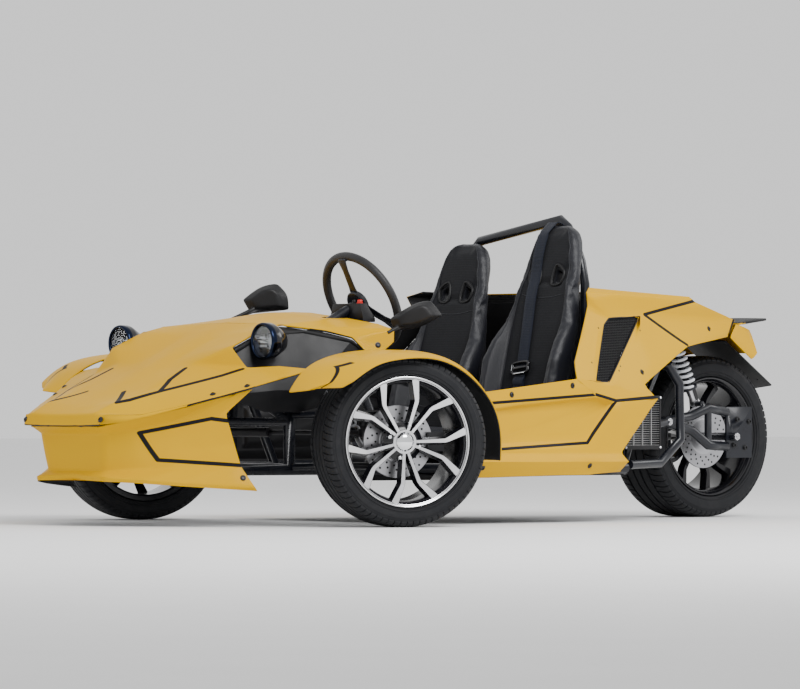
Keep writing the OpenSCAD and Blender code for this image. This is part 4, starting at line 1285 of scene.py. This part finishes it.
def makeVents():
    for mark, side in ((1, "left"), (-1, "right")):
        corners = [at(x, mark * y, z) for x, y, z in vent["corners"]]
        out = Vector((vent["normal"][0], mark * vent["normal"][1], vent["normal"][2])).normalized()
        across = (corners[1] - corners[0])
        across = (across - out * across.dot(out)).normalized()
        over = out.cross(across)
        flat = [((c - corners[0]).dot(across), (c - corners[0]).dot(over)) for c in corners]
        middle = (sum(p[0] for p in flat) / 5, sum(p[1] for p in flat) / 5)
        shrunk = [(middle[0] + (p[0] - middle[0]) * 0.965,
                   middle[1] + (p[1] - middle[1]) * 0.965) for p in flat]
        pitch = vent["pitch"]
        spots = []
        for i in range(-60, 61):
            for j in range(-60, 61):
                p = (i * pitch + (j % 2) * pitch / 2, j * pitch * 0.75 / 0.866)
                if inside(p, shrunk):
                    spots.append((corners[0] + across * p[0] + over * p[1] - out * vent["sunk"], out, across))
        cell = place(lathe("cell", [(0.0040, -0.0014), (0.0062, -0.0014), (0.0062, 0.0008),
                                    (0.0048, 0.0014)], 6),
                     Matrix.Rotation(math.radians(30), 4, "Z"))
        finish(onSpots("vent_cells_" + side, cell, spots, blackPlastic), "chassis",
               blackPlastic)
        line = [corners[0] + across * p[0] + over * p[1] - out * 0.003 for p in flat]
        path = []
        for a, b in zip(line, line[1:] + line[:1]):
            path += [a.lerp(b, t) for t in (0.04, 0.35, 0.65, 0.96)]
        finish(tubeAlong("vent_trim_" + side, path, 0.0028, 8, True, 1.0, out), "chassis",
               blackPlastic)


makeVents()
finish(nodeCopy("vent_meshes"), "chassis", blackSheet, "vent_meshes")
print("lamps and vents made")


# ---- radiator and engine ----

def makeRadiator():
    where = Matrix.Translation(at(-1.262, 0.432, 0.330)) @ Matrix.Rotation(math.radians(8), 4, "Z")
    frameBars = [((-0.105, -0.014, 0.074), (0.084, 0.014, 0.088)),
                 ((-0.105, -0.014, -0.092), (0.084, 0.014, -0.078)),
                 ((-0.105, -0.014, -0.092), (-0.097, 0.014, 0.088)),
                 ((0.076, -0.014, -0.092), (0.084, 0.014, 0.088))]
    bars = [box("bar", low, high, 0.0015) for low, high in frameBars]
    bars.append(box("core", (-0.1, -0.009, -0.08), (0.08, 0.006, 0.076), 0.001))
    finish(place(joined("radiator_frame", bars), where), "chassis", blackSheet, "radiator")
    fin = box("fin", (-0.097, 0.006, -0.0775), (0.076, 0.0125, -0.0762), 0.0003, 1)
    fins = rowOf("fins", fin, 21, (0, 0, 0.0075), finMetal)
    struts = [box("strut", (x - 0.0012, 0.0065, -0.078), (x + 0.0012, 0.0132, 0.074), 0.0004) for x in
              (-0.055, -0.01, 0.036)]
    finish(place(joined("radiator_fins", [fins] + struts), where), "chassis", finMetal)
    bolts = [place(lathe("bolt", [(0, 0), (0.005, 0), (0.005, 0.003), (0.0035, 0.0045), (0, 0.0045)], 6),
                   where
                   @ Matrix.Translation((x, 0.0139, z)) @ Matrix.Rotation(math.radians(-90), 4, "X"))
             for x in (-0.1, 0.08) for z in (-0.085, 0.081)]
    finish(joined("radiator_bolts", bolts), "chassis", zincMetal)


def makeEngine():
    rear, front = -1.490, -1.220
    low = [box("case", at(rear + 0.005, -0.128, 0.215), at(front - 0.005, 0.128, 0.365), 0.012, 3),
           box("sump", at(rear + 0.03, -0.10, 0.2155), at(front - 0.04, 0.10, 0.235), 0.006),
           box("head", at(rear + 0.055, -0.075, 0.452), at(front - 0.075, 0.075, 0.5045), 0.010, 3)]
    for mark in (1, -1):
        turn = Matrix.Rotation(math.radians(-90 * mark), 4, "X")
        for x, r in ((-1.40, 0.066), (-1.283, 0.052)):
            low.append(place(lathe("cover", [(0, 0), (r, 0), (r, 0.012), (r - 0.004, 0.017),
                                             (r - 0.016, 0.0185),
                                             (r - 0.02, 0.0215), (0, 0.022)], 40),
                             Matrix.Translation(at(x, mark * 0.127, 0.29)) @ turn))
    finish(joined("engine_case", low), "chassis", castMetal, "engine")
    fin = box("fin", at(rear + 0.045, -0.085, 0.368), at(front - 0.065, 0.085, 0.3712), 0.001, 1)
    core = box("barrel", at(rear + 0.065, -0.066, 0.36), at(front - 0.085, 0.066, 0.455), 0.006)
    finish(joined("engine_fins", [rowOf("engineFins", fin, 11, (0, 0, 0.0082), blackCast), core]), "chassis",
           blackCast)


makeRadiator()
makeEngine()


# ---- springs and shocks ----

frontShock = {"top": (0.030, 0.312, 0.524), "foot": (0.0, 0.560, 0.205), "coil": 0.0215, "wire": 0.0042,
              "share": (0.17, 0.75), "turns": 9.0, "body": 0.0165, "eye": 0.013}
rearShock = {"top": (-1.646, 0.165, 0.650), "foot": (-1.765, 0.165, 0.392), "coil": 0.0245, "wire": 0.0052,
             "share": (0.21, 0.79), "turns": 7.5, "body": 0.0155, "eye": 0.012}


def makeShocks(name, v, coilMaterial):
    coils, bodies, rods = [], [], []
    for mark in (1, -1):
        top, foot = (at(p[0], mark * p[1], p[2]) for p in (v["top"], v["foot"]))
        ahead = top - foot
        length = ahead.length
        turn = ahead.to_track_quat("Z", "Y").to_matrix().to_4x4()
        where = Matrix.Translation(foot) @ turn
        low, high = (length * (1 - v["share"][1]), length * (1 - v["share"][0]))
        coil = grow("coil", trees["spring"], {"Turns": v["turns"], "Radius": v["coil"], "Wire": v["wire"],
                                              "Length": high - low - 0.012, "Material": coilMaterial})
        coils.append(place(coil, where @ Matrix.Translation((0, 0, low + 0.006))))
        b, c = v["body"], v["coil"] + v["wire"]
        bodies.append(place(lathe("shockBody", [
            (0, low - 0.004), (c, low - 0.004), (c, low + 0.004), (b * 0.72, low + 0.006),
            (b * 0.72, length * 0.55),
            (b, length * 0.56), (b, high - 0.006), (c, high - 0.004), (c, high + 0.005), (b, high + 0.007),
            (b * 0.8, high + 0.02), (0, high + 0.022)], 32), where))
        rods.append(place(lathe("shockRod", [(0, 0.008), (0.0085, 0.008), (0.0085, low), (0, low)], 24),
                          where))
        rods.append(place(lathe("shockNeck", [(0, high + 0.015), (0.0085, high + 0.015),
                                              (0.0085, length - 0.006),
                                              (0, length - 0.006)], 24), where))
        for end in (0.0, length):
            rods.append(place(lathe("shockEye",
                                    [(0.0052, -0.011), (v["eye"] - 0.001, -0.011), (v["eye"], -0.009),
                                                 (v["eye"], 0.009), (v["eye"] - 0.001, 0.011),
                                     (0.0052, 0.011)], 32),
                              where @ Matrix.Translation((0, 0, end)) @ Matrix.Rotation(math.radians(90), 4,
                                                                                        "Y")))
    finish(joined(name + "_springs", coils), "chassis", coilMaterial, name)
    finish(joined(name + "_bodies", bodies), "chassis", blackCoat)
    finish(joined(name + "_rods", rods), "chassis", zincMetal)


makeShocks("front_shocks", frontShock, springWhite)
makeShocks("rear_shock", rearShock, springWhite)
print("springs made")


# ---- brakes ----

def makeDisc(node, spin, mark, body, low, high, outer, inner):
    matrix, out = wheelPlace(spin, mark)
    steel = turnedMetal(node + "_face", (0.45, 0.45, 0.47), 0.28, tuple(matrix.translation), tuple(out),
                        0.0016)
    ring = lathe("discRing", [(inner, low), (outer - 0.0008, low), (outer, low + 0.0008),
                              (outer, high - 0.0008),
                              (outer - 0.0008, high), (inner, high)], 96)
    hub = lathe("discHat", [(0.0125, low + 0.001), (inner + 0.002, low + 0.001),
                            (inner + 0.002, high + 0.0005),
                            (inner - 0.004, high + 0.002), (0.0125, high + 0.002)], 64)
    finish(place(joined(node + "_plate", [ring, hub]), matrix), body, steel, node)
    hole = lathe("hole", [(0, low - 0.0003), (0.0036, low - 0.0003), (0.0036, high + 0.0003),
                          (0, high + 0.0003)], 10)
    holes = []
    for k, share in ((0, 0.25), (1, 0.5), (2, 0.75)):
        shape = newPiece("holeShape", hole.data.copy())
        spot = place(shape, Matrix.Translation((inner + (outer - inner) * share, 0, 0)))
        holes.append(place(ringOf("discHoles", spot, 18, blackSheet),
                           Matrix.Rotation(math.radians(7 * k), 4, "Z")))
    bpy.data.objects.remove(hole)
    finish(place(joined(node + "_holes", holes), matrix), body, blackSheet)


for side, mark in (("left", 1), ("right", -1)):
    makeDisc("brake_disc_" + side, "front_wheel_" + side + "_spin", mark, "front_wheel_" + side, -0.012,
             -0.002,
             0.115, 0.062)
    finish(smooth(nodeCopy("knuckle_" + side), 28), "knuckle_" + side, blackCast,
           "knuckle_" + side)
makeDisc("rear_brake_disc", "rear_wheel_spin", 1, "rear_wheel", 0.0603, 0.066, 0.110, 0.060)
print("brakes made")


# ---- steering wheel, column and rack ----

columnPlace = Matrix.Translation(at(-0.221, 0.250, 0.722)) @ Matrix.Rotation(math.radians(-63), 4, "Y")
wheelShape = {"radius": 0.160, "grip": 0.0148, "spokes": [(0.026, 0.019), (0.060, 0.014), (0.118, 0.0125),
                                                           (0.152, 0.018)]}


def makeSteeringWheel():
    r, grip = wheelShape["radius"], wheelShape["grip"]
    path = [Vector((r * math.cos(a), r * math.sin(a), 0)) for a in (2 * math.pi * k / 96 for k in range(96))]
    rim = tubeAlong("steeringRim", path, grip, 20, True, 0.92)
    finish(place(rim, columnPlace), "steering_wheel", wheelLeather, "steering_wheel")
    stitch = [Vector(((r - grip * 0.98) * math.cos(a), (r - grip * 0.98) * math.sin(a), 0.002))
              for a in (2 * math.pi * k / 160 for k in range(161))]
    finish(place(stitched("steering_stitches", stitch, {"gap": 0.006, "stitch": 0.0042, "thread": 0.0006},
                          threadBlack), columnPlace), "steering_wheel", threadBlack)
    parts = []
    for turn in (0, 120, 240):
        side = [(x, w) for x, w in wheelShape["spokes"]] + [(x, -w) for x,
                                                            w in reversed(wheelShape["spokes"])]
        flat = plate("spoke", side, -0.0215, -0.0165, 0.0015)
        root = box("spokeRoot", (0.148, -0.017, -0.021), (0.158, 0.017, -0.002), 0.003, 3)
        parts.append(place(joined("spokePair", [flat, root]), Matrix.Rotation(math.radians(turn), 4, "Z")))
    parts.append(lathe("hubBoss", [(0, -0.0298), (0.040, -0.0298), (0.0438, -0.026), (0.0438, -0.014),
                                   (0.041, -0.0105),
                                   (0.034, -0.0085), (0, -0.0085)], 64, True, 30))
    finish(place(joined("steering_spokes", parts), columnPlace), "steering_wheel", blackCoat)
    cap = lathe("hornCap", [(0, -0.012), (0.0275, -0.012), (0.0275, -0.005), (0.025, -0.001), (0.015, 0.0022),
                            (0, 0.0035)], 48, True, 50)
    finish(place(cap, columnPlace), "steering_wheel", glossBlack)
    cap.name = "horn_cap"
    screw = place(lathe("screw", [(0, -0.011), (0.0035, -0.011), (0.0035, -0.0068), (0.0022, -0.0056),
                                  (0, -0.0056)], 10), Matrix.Translation((0.0345, 0, 0)))
    finish(place(ringOf("hub_screws", screw, 6, zincMetal), columnPlace), "steering_wheel",
           zincMetal)


makeSteeringWheel()
finish(smooth(nodeCopy("steering_column"), 30), "chassis", blackCoat, "steering_column")
finish(smooth(nodeCopy("steering_rack"), 30), "steering_rack", blackCast, "steering_rack")


# ---- mirrors, pod and the black shells ----

mirrorHeads = {"left": ((-0.222, 0.520, 0.672),
                        [(-82, -10), (3, 46), (49, 46), (85, 0), (10, -46), (-72, -49)]),
               "right": ((-0.318, -0.374, 0.738),
                         [(-79, -3), (-20, 46), (36, 52), (72, 16), (75, -36), (-52, -49)])}
mirrorShape = {"rimFold": 180, "softFold": 34, "hardFold": 95, "levels": 3, "hold": 0.86}
for side, (spot, outline) in mirrorHeads.items():
    head = softened(nodeCopy("mirror_" + side), mirrorShape)
    finish(head, "chassis", blackPlastic, "mirror_" + side)
    glass = plate("mirror_glass_" + side, [(x * 0.00084, y * 0.00084) for x, y in outline], -0.0012, 0.002,
                  0.001)
    place(glass, Matrix.Translation(at(*spot)) @ Matrix.Rotation(math.radians(140.3), 4, "Z")
          @ Matrix.Rotation(math.radians(90), 4, "X"))
    finish(glass, "chassis", chrome)
finish(smooth(bevel(nodeCopy("instrument_pod"), 0.006, 3), 40), "chassis", blackPlastic,
       "instrument_pod")
finish(smooth(bevel(nodeCopy("inner_shells"), 0.002, 2), 22), "chassis", blackPlastic,
       "inner_shells")
podButtons = [(at(-0.166, 0.305, 0.7128), redPlastic, "red_button", 0.0085),
              (at(-0.166, 0.275, 0.7128), blackPlastic, "black_button", 0.006)]
for spot, material, label, r in podButtons:
    piece = lathe(label, [(0, -0.002), (r * 1.25, -0.002), (r * 1.25, 0.002), (r, 0.003), (r, 0.009),
                          (r * 0.8, 0.0112),
                          (0, 0.012)], 28, True, 40)
    finish(place(piece, Matrix.Translation(spot)), "chassis", material)


# Black liners close the slits beside the lamps and along the top of the bumper.
linerShape = {"lampEdge": [(0.352, 0.318, 0.546), (0.238, 0.314, 0.602), (0.100, 0.346, 0.613),
                           (-0.017, 0.441, 0.583), (-0.060, 0.470, 0.546)],
              "bumperEdge": [(0.744, 0.0, 0.306), (0.740, 0.150, 0.306), (0.690, 0.250, 0.322),
                             (0.586, 0.348, 0.358), (0.455, 0.434, 0.398)],
              "steps": 10, "reach": 0.075, "gap": 0.0012, "thick": 0.0018}


def makeLiners(values):
    scene = bpy.context.evaluated_depsgraph_get()
    trees = [BVHTree.FromObject(skins[name], scene) for name in ("hood", "dash_cowl")]
    pieces = []
    for edge in ("lampEdge", "bumperEdge"):
        for mark in (1, -1):
            row = [at(x, mark * y, z) for x, y, z in values[edge]]
            low = [a.lerp(b, k / values["steps"]) for a,
                   b in zip(row, row[1:]) for k in range(values["steps"])]
            low.append(row[-1])
            high = []
            for p in low:
                hits = [tree.find_nearest(p, values["reach"])[0] for tree in trees]
                hits = sorted((hit for hit in hits if hit is not None), key=lambda hit: (hit - p).length)
                high.append(hits[0].lerp(p, values["gap"] / max((hits[0] - p).length, 0.004)) if hits else
                            p + up * 0.004)
            n = len(low)
            piece = meshPiece("liner", low + high, [(k, k + 1, n + k + 1, n + k) for k in range(n - 1)])
            addModifier(piece, "SOLIDIFY", thickness=values["thick"], offset=0)
            pieces.append(settle(piece))
    finish(joined("black_liners", pieces), "chassis", blackSheet)


makeLiners(linerShape)

# The hood's turned-down corner stands on the bumper.
hoodCorner = {"top": [(0.7995, 0.2000, 0.3200), (0.7895, 0.2050, 0.3510), (0.7160, 0.2995, 0.3510),
                      (0.6000, 0.3910, 0.3830)],
              "foot": [(0.7995, 0.2000, 0.3195), (0.7600, 0.2440, 0.3260), (0.7150, 0.2960, 0.3390),
                       (0.6000, 0.3880, 0.3780)],
              "thick": 0.002}


def makeHoodCorners(values):
    pieces = []
    for mark in (1, -1):
        top, foot = ([at(x, mark * y, z) for x, y, z in values[row]] for row in ("top", "foot"))
        faces = [(0, 5, 1), (1, 5, 6, 2), (2, 6, 7, 3)]
        piece = meshPiece("corner", top + foot, faces if mark < 0 else [f[::-1] for f in faces])
        editMesh(piece, lambda bm: bmesh.ops.delete(bm, geom=[v for v in bm.verts if not v.link_faces],
                                                    context="VERTS"))
        addModifier(piece, "SOLIDIFY", thickness=values["thick"], offset=0)
        pieces.append(settle(piece))
    finish(joined("hood_corners", pieces), "chassis", plainPaint)


makeHoodCorners(hoodCorner)


# ---- tail ----

tailShape = {"softFold": 14, "hardFold": 30, "levels": 2, "hold": 0.95, "rimFold": 180,
             "spoilerZ": 0.6625, "spoilerTop": 0.6705, "spoilerX": -2.06}


def makeTail(v):
    def onSpoiler(c, n):
        onTop = c.z > v["spoilerZ"] and (abs(n.z) > 0.6 or c.z > v["spoilerTop"])
        return onTop or c.x < axleX + v["spoilerX"]
    piece = twoFinishes(softened(nodeCopy("tail_fins"), v), plainPaint, blackSheet, onSpoiler)
    finish(piece, "chassis", None, "tail_fins")


makeTail(tailShape)


# ---- screws and rivets ----

# Chosen near the panels' corners and along their edges; each is set on the skin under it.
sharedScrew = (-1.23, 0.49, 0.495)
screwSpots = {
    "hood": [(0.80, 0.19, 0.335), (0.52, 0.41, 0.42), (0.435, 0.475, 0.445)],
    "nose_bumper": [(0.43, 0.455, 0.155)],
    "dash_cowl": [(-0.09, 0.49, 0.575)],
    "side_panel": [(-0.535, 0.635, 0.415), (-0.82, 0.605, 0.445), sharedScrew, (-0.41, 0.63, 0.175),
                   (-0.90, 0.60, 0.18)],
    "rear_quarter": [(-1.74, 0.265, 0.645), sharedScrew],
}
rivetSpots = {"rear_quarter": [(-1.05, 0.475, 0.64), (-1.29, 0.415, 0.635), (-0.955, 0.55, 0.525),
                               (-1.115, 0.515, 0.515), (-1.10, 0.525, 0.50)]}


def spotsOn(table):
    spots = []
    for label, points in table.items():
        for mark, side in ((1, "_left"), (-1, "_right")):
            skin = skins.get(label) or skins[label + side]
            tree = BVHTree.FromObject(skin, bpy.context.evaluated_depsgraph_get())
            for x, y, z in points:
                guess = at(x, mark * y, z)
                hit, normal, index, gap = tree.find_nearest(guess + Vector((0.004, mark * 0.01, 0.004)))
                if gap < 0.05:
                    outwardly = Vector((0.2, mark, 0.6))
                    spots.append((hit, normal if normal.dot(outwardly) > 0 else -normal,
                                  up + Vector((0.1, 0, 0))))
    return spots


screwHead = lathe("screwHead", [(0, -0.002), (0.0098, -0.002), (0.0098, 0.0008), (0.0078, 0.0012),
                                (0.0074, 0.0028),
                                (0.0045, 0.0046), (0.0038, 0.0046), (0.0034, 0.0022), (0, 0.0022)], 20, True,
                  30)
finish(onSpots("body_screws", screwHead, spotsOn(screwSpots), screwBlack), "chassis",
       screwBlack)
rivetHead = lathe("rivetHead", [(0, -0.001), (0.0034, -0.001), (0.003, 0.0008), (0.0015, 0.0015),
                                (0, 0.0016)], 12)
finish(onSpots("body_rivets", rivetHead, spotsOn(rivetSpots), screwBlack), "chassis",
       screwBlack)

plateBolts = [(-1.925, 0.210, 0.338), (-1.980, 0.210, 0.331), (-1.908, 0.210, 0.249), (-1.962, 0.210, 0.241)]
bolts = []
for mark in (1, -1):
    for x, y, z in plateBolts:
        bolts.append((at(x, mark * y, z), Vector((0, mark, 0)), up))
boltHead = lathe("boltHead", [(0, -0.001), (0.0105, -0.001), (0.0105, 0.001), (0.0078, 0.0012),
                              (0.0075, 0.0062),
                              (0.0068, 0.007), (0.0045, 0.007), (0.004, 0.004), (0, 0.004)], 18, True, 30)
finish(onSpots("swing_plate_bolts", boltHead, bolts, screwBlack), "chassis", screwBlack)
pivotBolts = [(at(-1.590, m * 0.226, 0.330), Vector((0, m, 0)), up) for m in (1, -1)]
pivotBolts += [(at(-1.9, m * 0.230, 0.279), Vector((0, m, 0)), up) for m in (1, -1)]
nut = bevel(lathe("axleNut", [(0, 0), (0.0135, 0), (0.0135, 0.009), (0.0085, 0.0105), (0.008, 0.014),
                              (0, 0.015)], 6),
            0.0008, 2)
finish(onSpots("axle_nuts", nut, pivotBolts, zincMetal), "chassis", zincMetal)
print("screws set")


# ---- floor, light and camera ----

def stageFloor():
    shop = Shop("paleFloor", **{"Roughness": 0.85})
    speck = shop.noise(3, 3)
    shop.set("Base Color", shop.mix(speck, (0.86, 0.86, 0.86), (0.9, 0.9, 0.9)))
    size = 40
    floor = meshPiece("floor", [(-size, -size, 0), (size, -size, 0), (size, size, 0), (-size, size, 0)],
                      [(0, 1, 2, 3)])
    floor.data.materials.append(shop.material)
    world = bpy.data.worlds.new("studio")
    bpy.context.scene.world = world
    world.use_nodes = True
    world.node_tree.nodes["Background"].inputs["Color"].default_value = (1, 1, 1, 1)
    world.node_tree.nodes["Background"].inputs["Strength"].default_value = 1.0


def softLight(name, where, target, size, power):
    lamp = bpy.data.lights.new(name, "AREA")
    lamp.shape = "RECTANGLE"
    lamp.size, lamp.size_y = size
    lamp.energy = power
    light = newPiece(name, lamp)
    light.location = where
    light.rotation_euler = (Vector(target) - Vector(where)).to_track_quat("-Z", "Y").to_euler()


lightRig = {
    "key": ((1.2, 5.2, 5.0), (0, 0, 0.3), (3, 3), 420),
    "fill": ((6, -3, 3), (0, 0, 0.4), (3, 2), 15),
    "rim": ((-5, 2.5, 3.5), (-0.5, 0, 0.4), (3, 2), 90),
}

# Turn, pitch and roll in degrees; lens and sensor in millimetres.
cameraView = {"place": (11.613, 13.845, 0.372), "turn": 39.72, "pitch": -0.68, "roll": 0.12, "lens": 244,
              "sensor": 36, "reach": 200}


def makeCamera(view):
    data = bpy.data.cameras.new("camera")
    data.lens = view["lens"]
    data.sensor_width = view["sensor"]
    data.clip_end = view["reach"]
    camera = newPiece("camera", data)
    turn, pitch, roll = (math.radians(view[key]) for key in ("turn", "pitch", "roll"))
    ahead = Vector((-math.sin(turn) * math.cos(pitch), -math.cos(turn) * math.cos(pitch), -math.sin(pitch)))
    right = ahead.cross(up).normalized()
    over = right.cross(ahead)
    x = math.cos(roll) * right + math.sin(roll) * over
    y = math.cos(roll) * over - math.sin(roll) * right
    camera.matrix_world = Matrix.Translation(view["place"]) @ Matrix((x, y, -ahead)).transposed().to_4x4()
    bpy.context.scene.camera = camera


stageFloor()
for name, (where, target, size, power) in lightRig.items():
    softLight(name, where, target, size, power)
makeCamera(cameraView)

bpy.context.view_layer.update()
print("scene ready")
